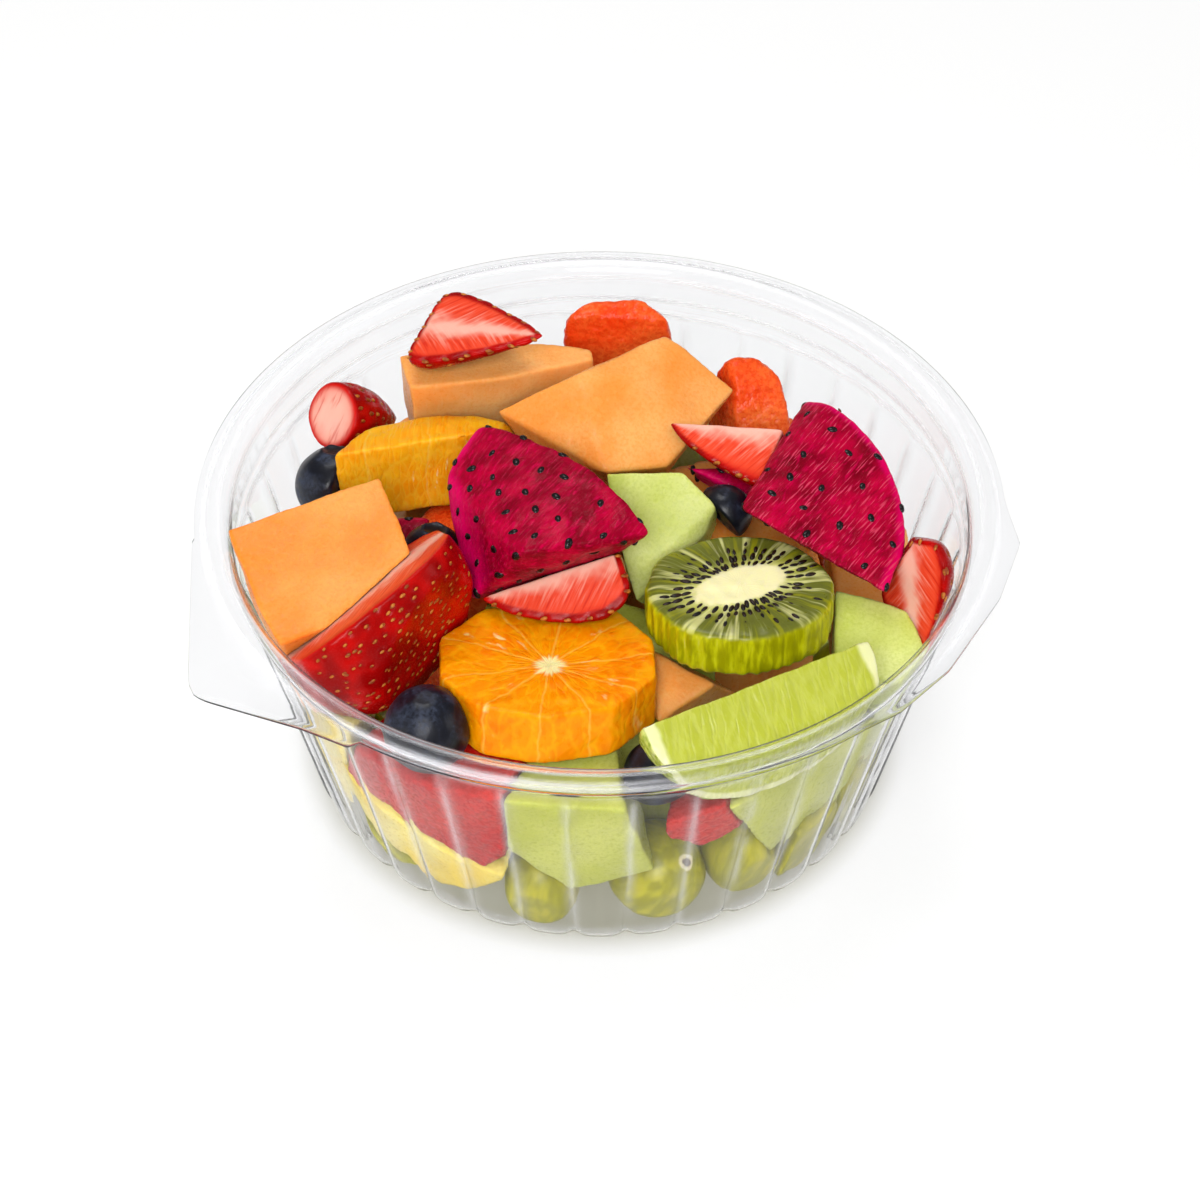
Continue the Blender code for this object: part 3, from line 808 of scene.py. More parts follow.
@dataclass(frozen=True)
class FloorFinish:
    """Matt white studio floor lit from within, as a light table is, with a painted shadow under the bowl
    where the glow falls to a dim olive shade.
    """

    name: str = "studio_floor"
    tone: tuple[float, ...] = (0.36, 0.36, 0.355, 1.0)
    glow: float = 0.67
    # painted shadow: the dim olive glow under the bowl
    shade: tuple[float, ...] = (0.38, 0.365, 0.255, 1.0)
    foot: tuple[float, float] = (60.0, 72.0)

    def dress(self) -> bpy.types.Material:
        """Makes the material.

        Returns:
            The finished material.
        """
        shader = Shader(self.name)
        x, y, _ = shader.split(shader.place())
        radius = (x * x + y * y) ** 0.5
        # painted shadow: the glow fades to the shade colour inside the foot's radii
        colour = shader.mix(radius.rise(*self.foot), self.shade, (1.0, 1.0, 1.0, 1.0))
        return shader.finish(Base_Color=self.tone, Roughness=0.9, Emission_Color=colour,
                             Emission_Strength=self.glow)


HONEYDEW_DEPTH = Depth(0.40, (0.8, 0.9, 0.3), 3.0)


class Fruit(Enum):
    """The record's slot and the finish of each kind of fruit."""

    CANTALOUPE = ("cantaloupe", MelonFinish("cantaloupe_flesh", paint(255, 182, 104), paint(253, 155, 66),
                                            paint(248, 138, 44)))
    HONEYDEW = ("honeydew", MelonFinish("honeydew_flesh", paint(220, 226, 142), paint(198, 208, 96),
                                        paint(182, 194, 78), depth=HONEYDEW_DEPTH))
    WATERMELON = ("watermelon", MelonFinish("watermelon_flesh", paint(252, 116, 46), paint(246, 68, 14),
                                            paint(222, 40, 8), 1.0, 0.12, 0.26,
                                            Depth(0.20, (1.0, 0.25, 0.12), 2.0), 0.45))
    YELLOW_MELON = ("yellow_melon", MelonFinish("yellow_melon_flesh", paint(246, 228, 136),
                                                paint(240, 208, 80), paint(226, 192, 60),
                                                depth=Depth(0.40, (0.9, 0.8, 0.3), 3.0)))
    # painted shade: a darker copy of the honeydew for the pieces behind the front wall
    HONEYDEW_RIPE = ("honeydew", MelonFinish("honeydew_shaded_flesh", paint(202, 204, 106), paint(184, 188, 70),
                                             paint(166, 172, 54), depth=HONEYDEW_DEPTH))
    # partly the piece's own darker red, partly painted shade for the pieces behind the front wall
    WATERMELON_RIPE = ("watermelon", MelonFinish("watermelon_red_and_shaded_flesh", paint(204, 46, 34),
                                                 paint(188, 14, 12), paint(150, 6, 6), 1.0, 0.08, 0.26,
                                                 Depth(0.15, (1.0, 0.25, 0.12), 2.0), 0.35))
    STRAWBERRY = ("strawberry", StrawberryFinish())
    STRAWBERRY_END = ("strawberry", StrawberryFinish("strawberry_cut_across", across=True,
                                                     flesh=paint(238, 138, 120), core_share=(1.1, 0.3)))
    ORANGE = ("orange", OrangeFinish())
    ORANGE_SIDE = ("orange", OrangeFinish("orange_cut_side", star=False, pulp=paint(255, 176, 20),
                                          juice=paint(250, 140, 6), cell=paint(255, 200, 60)))
    # a deeper-coloured copy of the cantaloupe, used on cantaloupe_left alone
    CANTALOUPE_RIPE = ("cantaloupe", MelonFinish("cantaloupe_deeper_flesh", paint(255, 166, 78),
                                                 paint(252, 142, 48), paint(244, 126, 34)))
    # painted light: a lighter copy of the cantaloupe for cantaloupe_back, whose front faces the lamps leave
    # dim
    CANTALOUPE_PALE = ("cantaloupe", MelonFinish("cantaloupe_lit_flesh", paint(255, 188, 116),
                                                 paint(254, 168, 86), paint(250, 150, 64)))
    KIWI = ("kiwi", KiwiFinish())
    LIME = ("lime", LimeFinish())
    DRAGONFRUIT = ("dragonfruit", DragonfruitFinish())
    # the right piece carries many more painted highlight strokes
    DRAGONFRUIT_STREAKED = ("dragonfruit", DragonfruitFinish("dragonfruit_glint_streaked_flesh", 0.75))
    BLUEBERRY = ("blueberry", BerryFinish())
    GRAPE = ("grape", GrapeFinish())

    @property
    def slot(self) -> str:
        """The record's material slot."""
        return self.value[0]

    def material(self) -> bpy.types.Material:
        """The material, made once."""
        finish = self.value[1]
        return bpy.data.materials.get(finish.name) or finish.dress()


class Seed(Enum):
    """The finishes of the seeds."""

    STRAWBERRY = SeedFinish("strawberry_seed", paint(200, 120, 40), paint(140, 60, 10))
    DARK = SeedFinish("black_seed", paint(26, 16, 18), paint(6, 4, 6), 0.22)
    KIWI = SeedFinish("kiwi_seed", paint(40, 20, 10), paint(10, 6, 4), 0.3)

    def material(self) -> bpy.types.Material:
        """The material, made once."""
        return bpy.data.materials.get(self.value.name) or self.value.dress()


# Meshes


class Ripple:
    """Smooth random waves in space, the same on every run."""

    def __init__(self, seed: int, length: float, waves: int = 20) -> None:
        """Draws the waves.

        Args:
            seed: picks the waves.
            length: their usual length in millimetres.
            waves: how many there are.
        """
        draw = np.random.default_rng(seed)
        ways = draw.normal(size=(waves, 3))
        ways /= np.linalg.norm(ways, axis=1)[:, None]
        self.ways = ways * (math.tau / length) * draw.uniform(0.6, 1.5, size=(waves, 1))
        self.starts = draw.uniform(0.0, math.tau, size=waves)

    def at(self, points: Array) -> Array:
        """The wave's height at each point, mostly between -1 and 1."""
        return np.sin(points @ self.ways.T + self.starts).sum(axis=1) / math.sqrt(len(self.starts))


class Draft:
    """Points and faces collected for one piece, with the numbers that its points carry."""

    def __init__(self) -> None:
        """Starts empty."""
        self.points: list[Array] = []
        self.corners: list[Array] = []
        self.sizes: list[Array] = []
        self.kinds: list[Array] = []
        self.measures: dict[str, list[Array]] = {}
        self.count = 0

    def add(self, points: Array, corners: Array, sizes: Array, kind: int, **measures: Array) -> None:
        """Adds a shell.

        Args:
            points: its points in millimetres.
            corners: the point of each corner of its faces, one face after another.
            sizes: how many corners each face has.
            kind: the number of its material.
            measures: numbers for its points, by name.
        """
        for name, numbers in measures.items():
            self.measures.setdefault(name, [np.zeros(self.count)]).append(numbers)
        for name, numbers in self.measures.items():
            if name not in measures:
                numbers.append(np.zeros(len(points)))
        self.points.append(points)
        self.corners.append(corners + self.count)
        self.sizes.append(sizes)
        self.kinds.append(np.full(len(sizes), kind))
        self.count += len(points)

    def finish(self, name: str, place: Matrix, materials: list[bpy.types.Material]) -> bpy.types.Object:
        """Makes the object.

        Args:
            name: its name.
            place: its place and turn in the row frame, in metres.
            materials: its materials, by number.

        Returns:
            The object, smooth shaded.
        """
        points = np.vstack(self.points) * MM
        corners, sizes = np.concatenate(self.corners), np.concatenate(self.sizes)
        mesh = bpy.data.meshes.new(name)
        mesh.vertices.add(len(points))
        mesh.vertices.foreach_set("co", points.astype(np.float32).ravel())
        mesh.loops.add(len(corners))
        mesh.loops.foreach_set("vertex_index", corners.astype(np.int32))
        mesh.polygons.add(len(sizes))
        mesh.polygons.foreach_set("loop_start", (np.cumsum(sizes) - sizes).astype(np.int32))
        mesh.polygons.foreach_set("material_index", np.concatenate(self.kinds).astype(np.int32))
        mesh.polygons.foreach_set("use_smooth", np.ones(len(sizes), bool))
        for name_of, numbers in self.measures.items():
            layer = mesh.attributes.new(name_of, "FLOAT", "POINT")
            layer.data.foreach_set("value", np.concatenate(numbers).astype(np.float32))
        for material in materials:
            mesh.materials.append(material)
        mesh.update(calc_edges=True)
        mesh.validate()
        obj = bpy.data.objects.new(name, mesh)
        obj.matrix_world = place
        bpy.context.scene.collection.objects.link(obj)
        return obj


def seed_shell(sides: int = 8, rings: int = 5) -> tuple[Array, Array, Array]:
    """A small round seed of half-length 1 along X, pointed a little at its +X end.

    Args:
        sides: how many sides it has.
        rings: how many rings of points lie between its ends.

    Returns:
        Its points, its faces' corners and its faces' sizes.
    """
    points = [(-1.0, 0.0, 0.0)]
    for ring in range(1, rings + 1):
        lean = math.pi * ring / (rings + 1)
        girth = math.sin(lean) * (1.0 + 0.125 * math.cos(lean))
        for side in range(sides):
            turn = math.tau * side / sides
            points.append((-math.cos(lean), girth * math.cos(turn), girth * math.sin(turn)))
    points.append((1.0, 0.0, 0.0))
    last = len(points) - 1
    faces: list[tuple[int, ...]] = []
    for side in range(sides):
        after = (side + 1) % sides
        faces.append((0, 1 + after, 1 + side))
        for ring in range(rings - 1):
            low = 1 + ring * sides
            faces.append((low + side, low + after, low + sides + after, low + sides + side))
        low = 1 + (rings - 1) * sides
        faces.append((low + side, low + after, last))
    return (np.array(points), np.concatenate([np.array(face) for face in faces]),
            np.array([len(face) for face in faces]))


@dataclass
class FruitPiece:
    """One piece of fruit that stands for one solid of the frame.

    The solid is meshed finely, its knife edges are softened and its surface gets the fruit's own relief.
    """

    node: str
    fruit: Fruit
    centre: Point | None = None
    along: Point = (1.0, 0.0, 0.0)
    up: Point = (0.0, 0.0, 1.0)
    grain: float = 0.7
    rounding: float = 0.35
    tolerance: float = 0.0
    growth: float = 0.12
    least_area: ClassVar[float] = 1e-4
    same_way: ClassVar[float] = 40.0
    same_place: ClassVar[float] = 5.0
    longest_ray: ClassVar[float] = 60.0
    halvings: ClassVar[int] = 24

    def __post_init__(self) -> None:
        """Reads the solid and brings it into the piece's own axes."""
        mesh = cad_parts[self.node].data
        mesh.calc_loop_triangles()
        points = np.empty(len(mesh.vertices) * 3, np.float32)
        mesh.vertices.foreach_get("co", points)
        points = points.reshape(-1, 3).astype(float) / MM
        triangles = np.empty(len(mesh.loop_triangles) * 3, np.int32)
        mesh.loop_triangles.foreach_get("vertices", triangles)
        self.bottom, self.top = float(points[:, 2].min()), float(points[:, 2].max())
        middle = (points.min(axis=0) + points.max(axis=0)) / 2.0
        self.middle = np.array(self.centre) if self.centre else middle
        x_axis = Vector(self.along).normalized()
        z_axis = (Vector(self.up) - x_axis * Vector(self.up).dot(x_axis)).normalized()
        self.axes = np.array([x_axis[:], z_axis.cross(x_axis)[:], z_axis[:]])
        self.corners = (points - self.middle) @ self.axes.T
        self.triangles = triangles.reshape(-1, 3)
        self.seed = sum(ord(letter) * (index + 1) for index, letter in enumerate(self.node))
        self._read_planes()

    def _read_planes(self) -> None:
        """Finds the solid's flat faces; those that only stand in for the round skin are moved out."""
        first, second, third = (self.corners[self.triangles[:, corner]] for corner in range(3))
        normals = np.cross(second - first, third - first)
        areas = np.linalg.norm(normals, axis=1)
        kept = areas > self.least_area
        normals = normals[kept] / areas[kept, None]
        middles = ((first + second + third) / 3.0)[kept]
        offsets = (normals * middles).sum(axis=1)
        skin = self.skin(middles)
        if skin is not None:
            offsets = np.where(np.abs(skin) < self.tolerance, offsets + self.tolerance, offsets)
        rounded = np.round(np.column_stack([normals * self.same_way, offsets * self.same_place]))
        _, chosen = np.unique(rounded, axis=0, return_index=True)
        self.normals, self.offsets = normals[chosen], offsets[chosen]

    def skin(self, points: Array) -> Array | None:
        """Distance outside the fruit's own round skin, or None for a piece that is cut all round."""
        return None

    def outside(self, points: Array) -> Array:
        """How far each point lies outside the softened solid, in millimetres.

        Args:
            points: points in the piece's own millimetres, one a row.

        Returns:
            The distances, below zero inside.
        """
        heights = points @ self.normals.T - self.offsets
        skin = self.skin(points)
        if skin is not None:
            heights = np.column_stack([heights, skin])
        highest = heights.max(axis=1)
        spread = np.exp((heights - highest[:, None]) / self.rounding).sum(axis=1)
        return highest + self.rounding * np.log(spread)

    def slope(self, points: Array) -> tuple[Array, Array]:
        """How far outside each point is, and the direction in which that grows.

        Args:
            points: points in the piece's own millimetres, one a row.

        Returns:
            The distances and the unit directions.
        """
        reach = 0.02
        here = self.outside(points)
        ways = [(self.outside(points + step) - here) / reach for step in np.eye(3) * reach]
        return here, np.column_stack(ways)

    def settle(self, points: Array, rounds: int = 4) -> tuple[Array, Array]:
        """Moves points onto the softened solid.

        Args:
            points: points near it.
            rounds: how many times they are moved.

        Returns:
            The moved points and the outward directions there.
        """
        for _ in range(rounds):
            here, ways = self.slope(points)
            steps = np.clip(here / np.maximum((ways ** 2).sum(axis=1), 0.2), -1.0, 1.0)
            points = points - ways * steps[:, None]
        _, ways = self.slope(points)
        return points, ways / np.linalg.norm(ways, axis=1)[:, None]

    def outward(self, starts: Array, ways: Array) -> Array:
        """Where rays from inside the piece come out of it.

        Args:
            starts: a point inside for each ray.
            ways: each ray's unit direction.

        Returns:
            The points on the surface.
        """
        low, high = np.zeros(len(starts)), np.full(len(starts), self.longest_ray)
        for _ in range(self.halvings):
            half = (low + high) / 2.0
            inside = self.outside(starts + ways * half[:, None]) < 0.0
            low, high = np.where(inside, half, low), np.where(inside, high, half)
        return starts + ways * low[:, None]

    def fine_mesh(self) -> tuple[Array, Array, Array]:
        """An even mesh of the solid, as points, corners and face sizes.

        Returns:
            The points, the corners of every face in turn and each face's number of corners.
        """
        mesh = bpy.data.meshes.new("coarse")
        mesh.from_pydata((self.corners * MM).tolist(), [], self.triangles.tolist())
        coarse = bpy.data.objects.new("coarse", mesh)
        bpy.context.scene.collection.objects.link(coarse)
        remesh = coarse.modifiers.new("even", "REMESH")
        remesh.mode = "VOXEL"
        remesh.voxel_size = self.grain * MM
        made = coarse.evaluated_get(bpy.context.evaluated_depsgraph_get()).to_mesh()
        points = np.empty(len(made.vertices) * 3, np.float32)
        made.vertices.foreach_get("co", points)
        corners = np.empty(len(made.loops), np.int32)
        made.loops.foreach_get("vertex_index", corners)
        sizes = np.empty(len(made.polygons), np.int32)
        made.polygons.foreach_get("loop_total", sizes)
        bpy.data.objects.remove(coarse)
        bpy.data.meshes.remove(mesh)
        return points.reshape(-1, 3).astype(float) / MM, corners, sizes

    def relief(self, points: Array) -> Array:
        """How far the surface stands out at each point, in millimetres."""
        slow, fast = Ripple(self.seed, 9.0), Ripple(self.seed + 1, 3.2)
        return 0.13 * slow.at(points) + 0.05 * fast.at(points) - 0.05

    def measures(self, points: Array) -> dict[str, Array]:
        """Numbers that the finish reads from the points."""
        return {}

    def add_details(self, draft: Draft) -> list[bpy.types.Material]:
        """Adds seeds and the like, and returns their materials."""
        return []

    def scatter(self, draft: Draft, spots: Array, normals: Array, heads: Array, size: Point,
                sink: float) -> None:
        """Adds one seed at each spot.

        Args:
            draft: the piece's mesh.
            spots: the seeds' places.
            normals: outward directions there.
            heads: the directions in which the seeds point.
            size: half-length, half-width and half-height of a seed.
            sink: how far its middle lies under the surface.
        """
        shell, corners, sizes = seed_shell()
        draw = np.random.default_rng(self.seed + 7)
        for spot, normal, head in zip(spots, normals, heads):
            forward = head - normal * (head @ normal) + draw.normal(scale=0.12, size=3)
            forward -= normal * (forward @ normal)
            forward /= max(np.linalg.norm(forward), 1e-6)
            side = np.cross(normal, forward)
            grown = shell * np.array(size) * draw.uniform(0.88, 1.12)
            placed = spot - normal * sink + grown @ np.array([forward, side, normal])
            draft.add(placed, corners, sizes, SEEDS)

    def within_heights(self, points: Array) -> Array:
        """Brings points that stand above the solid's highest point or below its lowest back to it."""
        heights = points @ self.axes[:, 2] + self.middle[2]
        return points + (np.clip(heights, self.bottom, self.top) - heights)[:, None] * self.axes[:, 2]

    def build(self) -> bpy.types.Object:
        """Builds, dresses and places the piece.

        Returns:
            The finished object, riding on the bowl's body in place of its solid.
        """
        rough, corners, sizes = self.fine_mesh()
        points, normals = self.settle(rough)
        points = points + normals * (self.relief(points) + self.growth)[:, None]
        spare = self.tolerance + 0.3
        points = np.clip(points, self.corners.min(axis=0) - spare, self.corners.max(axis=0) + spare)
        draft = Draft()
        draft.add(points, corners, sizes, MAIN, **self.measures(points))
        extra = self.add_details(draft)
        draft.points = [self.within_heights(shell) for shell in draft.points]
        place = Matrix([(*self.axes[:, row], self.middle[row] * MM) for row in range(3)] + [(0, 0, 0, 1)])
        piece = draft.finish(self.node + "_piece", place, [self.fruit.material(), *extra])
        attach(piece, "root")
        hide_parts(self.node)
        log.info("%s: %d points", piece.name, len(piece.data.vertices))
        return piece


@dataclass
class MelonChunk(FruitPiece):
    """A knife-cut block of melon with barely softened edges."""

    rough: float = 1.0

    def relief(self, points: Array) -> Array:
        """Slight waves of the knife, and grain."""
        slow, fast = Ripple(self.seed, 11.0), Ripple(self.seed + 1, 2.2)
        return 0.13 * slow.at(points) + 0.04 * self.rough ** 1.5 * fast.at(points) - 0.04


@dataclass
class OrangeChunk(FruitPiece):
    """A knife-cut piece of orange whose juice cells stand out a little."""

    def relief(self, points: Array) -> Array:
        """Soft waves, and the small ones of the juice cells."""
        slow, fast = Ripple(self.seed, 7.0), Ripple(self.seed + 1, 2.0)
        return 0.13 * slow.at(points) + 0.06 * fast.at(points) - 0.05


class CutSide(Enum):
    """Which of a strawberry's own planes the knife made."""

    TOP = "top"
    TOP_AND_BACK = "top and back"
    END = "end"


@dataclass
class Strawberry(FruitPiece):
    """Half or quarter of a strawberry, or its tip, with seeds sunk in its skin."""

    length: float = 30.0
    width: float = 24.0
    depth: float = 10.0
    cut_side: CutSide = CutSide.TOP
    profile: tuple[tuple[float, float], ...] = ((-0.03, 0.02), (0.0, 0.62), (0.08, 0.87), (0.22, 1.0),
                                                (0.42, 0.94), (0.62, 0.75), (0.80, 0.50), (0.93, 0.26),
                                                (1.0, 0.06), (1.02, 0.01))
    pitch: float = 3.9
    fruit: Fruit = Fruit.STRAWBERRY
    rounding: float = 0.30
    tolerance: float = 1.1
    pit_depth: float = 0.38
    pit_width: float = 0.62
    seeded: float = 6.0
    rim: float = 0.10
    seed_size: Point = (0.80, 0.45, 0.30)
    skin_line: ClassVar[float] = 0.9
    skin_blend: ClassVar[float] = 0.4
    rim_blend: ClassVar[float] = 0.35

    def girth(self, points: Array) -> Array:
        """Share of the full width at each point's place along the berry.

        Args:
            points: points in the piece's own millimetres, one a row.

        Returns:
            The shares, 0 to 1.
        """
        share = points[:, 0] / self.length + (0.0 if self.cut_side is CutSide.END else 0.5)
        places, girths = np.array(self.profile).T
        smooth = sum(np.interp(share + shift, places, girths) for shift in (-0.03, -0.015, 0.0, 0.015, 0.03))
        return np.maximum(smooth / 5.0, 0.01)

    def reach(self, points: Array) -> Array:
        """Distance from the berry's axis as a share of the skin's."""
        girth = self.girth(points)
        return np.hypot(points[:, 1] / (0.5 * self.width * girth), points[:, 2] / (self.depth * girth))

    def skin(self, points: Array) -> Array:
        """Distance outside the round skin."""
        return (self.reach(points) - 1.0) * np.minimum(0.5 * self.width, self.depth) * self.girth(points)

    def seed_spots(self) -> tuple[Array, Array]:
        """Places of the seeds in staggered rows round the skin, and the outward directions there.

        Returns:
            The places and the unit directions.
        """
        if self.cut_side is CutSide.END:
            begin, sweep, around = 1.0, (0.0, 360.0), self.width * math.pi
        else:
            begin, sweep = -0.5 * self.length + 1.0, (180.0, 360.0)
            around = math.pi * (0.5 * self.width + self.depth) / 2.0
        row_gap = self.pitch * 0.80
        rows = int((self.length - 2.0) / row_gap)
        starts, ways = [], []
        for row in range(rows):
            x = begin + (row + 0.5) * row_gap
            girth = float(self.girth(np.array([[x, 0.0, 0.0]]))[0])
            count = max(int(around * girth / self.pitch), 3)
            for seat in range(count):
                share = (seat + 0.25 + 0.5 * (row % 2)) / count
                turn = math.radians(sweep[0] + (sweep[1] - sweep[0]) * share)
                starts.append((x, 0.0, -0.02 * self.depth))
                ways.append((0.0, math.cos(turn), math.sin(turn)))
        jitter = np.random.default_rng(self.seed).normal(scale=0.05, size=(len(ways), 3))
        heading = np.array(ways) + jitter
        heading /= np.linalg.norm(heading, axis=1)[:, None]
        begun = self.outward(np.array(starts), heading)
        if self.rim > 0.5:
            begun = np.vstack([begun, self.rim_spots()])
        spots, normals = self.settle(begun, 2)
        under = np.minimum(-self.skin(spots), spots[:, 0] + 0.5 * self.length)
        kept = (self.skin(spots) > -self.seeded) & ((spots[:, 2] < -self.skin_line) | (under < self.rim))
        if self.cut_side is CutSide.END:
            kept = (self.skin(spots) > -self.tolerance) & (spots[:, 0] > 0.8)
        return spots[kept], normals[kept]

    def rim_spots(self) -> Array:
        """Places of the seeds that show in the skin round the cut face.

        Returns:
            The places, one a row.
        """
        gap = self.pitch * 1.3
        along = np.arange(1.0 - 0.5 * self.length, 0.5 * self.length - 1.0, gap)
        sides = (1.0,) if self.cut_side is CutSide.TOP_AND_BACK else (-1.0, 1.0)
        spots = []
        for side in sides:
            line = np.column_stack([along, np.zeros_like(along), np.zeros_like(along)])
            line[:, 1] = side * (0.5 * self.width * self.girth(line) - 0.4 * self.rim)
            spots.append(line)
        across = np.arange(-0.36 * self.width, 0.36 * self.width, gap)
        end = np.full_like(across, 0.4 * self.rim - 0.5 * self.length)
        spots.append(np.column_stack([end, across, np.zeros_like(across)]))
        return np.vstack(spots)

    def _pits(self, points: Array) -> Array:
        """1 at the bottom of each seed's pit and 0 away from them.

        Args:
            points: points in the piece's own millimetres, one a row.

        Returns:
            The depth of the pit at each point, 0 to 1.
        """
        spots, _ = self.seed_spots()
        deep = np.zeros(len(points))
        for spot in spots:
            deep = np.maximum(deep, np.exp(-((points - spot) ** 2).sum(axis=1) / (2.0 * self.pit_width ** 2)))
        return deep

    def relief(self, points: Array) -> Array:
        """Pits round the seeds, and a soft unevenness."""
        slow = Ripple(self.seed, 8.0)
        return 0.08 * slow.at(points) - 0.02 - self.pit_depth * self._pits(points)

    def measures(self, points: Array) -> dict[str, Array]:
        """Where the knife cut, how far from the axis a point is, and the pits, whose depth also paints shade
        into the skin's colour.

        Args:
            points: points in the piece's own millimetres, one a row.

        Returns:
            The values by their attribute's name.
        """
        under = -self.skin(points)
        if self.cut_side is CutSide.END:
            cut = np.clip((1.0 - points[:, 0]) / self.skin_blend, 0.0, 1.0)
        else:
            under = np.minimum(under, points[:, 0] + 0.5 * self.length)
            cut = np.clip((points[:, 2] + self.skin_line) / self.skin_blend, 0.0, 1.0)
            if self.cut_side is CutSide.TOP_AND_BACK:
                back = np.clip((self.skin_line - points[:, 1]) / self.skin_blend, 0.0, 1.0)
                cut = np.maximum(cut, back)
        cut = cut * np.clip((under - self.rim) / self.rim_blend, 0.0, 1.0)
        # the pits' depth goes to the finish as painted shade
        return {"cut": cut, "girth": np.clip(self.reach(points), 0.0, 1.2), "pit_shade": self._pits(points)}

    def add_details(self, draft: Draft) -> list[bpy.types.Material]:
        """Adds the seeds in their pits.

        Args:
            draft: the mesh that is being built.

        Returns:
            The materials that the details need.
        """
        spots, normals = self.seed_spots()
        heads = np.tile([1.0, 0.0, 0.0], (len(spots), 1))
        self.scatter(draft, spots, normals, heads, self.seed_size, self.pit_depth * 0.60)
        return [Seed.STRAWBERRY.material()]


@dataclass
class KiwiSlice(FruitPiece):
    """A thick round slice of kiwi, its cut face at Z = 0 and its peeled edge cut in flats."""

    fruit: Fruit = Fruit.KIWI
    grain: float = 0.5
    rounding: float = 0.9
    rays: int = 40
    seed_size: Point = (1.25, 0.54, 0.42)
    seed_sink: float = 0.34

    def relief(self, points: Array) -> Array:
        """A shallow hollow runs round the core, and the edge is lightly furrowed.

        Args:
            points: points in the piece's own millimetres, one a row.

        Returns:
            How far each point is raised, in millimetres.
        """
        finish = self.fruit.value[1]
        along, across = finish.turned(points[:, 0], points[:, 1])
        inner = np.hypot(along / finish.core_radii[0], across / finish.core_radii[1])
        angle = np.arctan2(points[:, 1], points[:, 0])
        edge = np.clip((-points[:, 2] - 0.6) / 1.2, 0.0, 1.0)
        face = 1.0 - edge
        furrow = 0.16 * np.sin(angle * 37.0 + 2.0 * np.sin(angle * 5.0)) * edge
        dish = -0.35 * np.exp(-((inner - 1.45) / 0.35) ** 2) * face
        return furrow + dish + 0.10 * Ripple(self.seed, 5.0).at(points) - 0.10

    def add_details(self, draft: Draft) -> list[bpy.types.Material]:
        """Adds the rays of seeds round the core.

        Args:
            draft: the mesh that is being built.

        Returns:
            The materials that the details need.
        """
        finish = self.fruit.value[1]
        draw = np.random.default_rng(self.seed)
        spots, heads = [], []
        for ray in range(self.rays):
            angle = math.tau * (ray + draw.uniform(-0.25, 0.25)) / self.rays
            flat = np.array([math.cos(angle), math.sin(angle)])
            along, across = finish.turned(flat[0], flat[1])
            core = 1.0 / math.hypot(along / finish.core_radii[0], across / finish.core_radii[1])
            rim = 1.0 / math.hypot(flat[0] / finish.rim_radii[0], flat[1] / finish.rim_radii[1])
            reach = core * 1.12 + draw.uniform(0.0, 1.2)
            while reach < core + (rim - core) * draw.uniform(0.50, 0.80):
                spots.append((flat[0] * reach, flat[1] * reach, 0.0))
                heads.append((flat[0], flat[1], 0.0))
                reach += draw.uniform(2.1, 3.2)
        settled, normals = self.settle(np.array(spots), 3)
        self.scatter(draft, settled, normals, np.array(heads), self.seed_size, self.seed_sink)
        return [Seed.KIWI.material()]


@dataclass
class LimeWedge(FruitPiece):
    """A long wedge of lime: its ridge lies along X, and its rind bulges below."""

    fruit: Fruit = Fruit.LIME
    grain: float = 0.6
    tolerance: float = 0.9
    length: float = 54.0
    radius: float = 25.5
    rounding: float = 0.45

    def skin(self, points: Array) -> Array:
        """Distance outside the rind.

        Args:
            points: points in the piece's own millimetres, one a row.

        Returns:
            The distances, below zero inside.
        """
        share = points[:, 0] / (0.5 * self.length)
        blunt = np.where(share > 0.0, 3.4, 2.2)
        reach = self.radius * np.maximum(1.0 - np.abs(share) ** blunt, 0.02) ** 0.5
        return (np.hypot(points[:, 1], points[:, 2]) - reach) * 0.9

    def relief(self, points: Array) -> Array:
        """Soft waves, and the small ones of the juice cells."""
        return 0.12 * Ripple(self.seed, 6.0).at(points) + 0.06 * Ripple(self.seed + 1, 2.2).at(points) - 0.06

    def measures(self, points: Array) -> dict[str, Array]:
        """How far each point is in from the rind."""
        ends = (0.5 * self.length - np.abs(points[:, 0])) * 0.75
        return {"rim": np.maximum(np.minimum(-self.skin(points), ends), 0.0)}


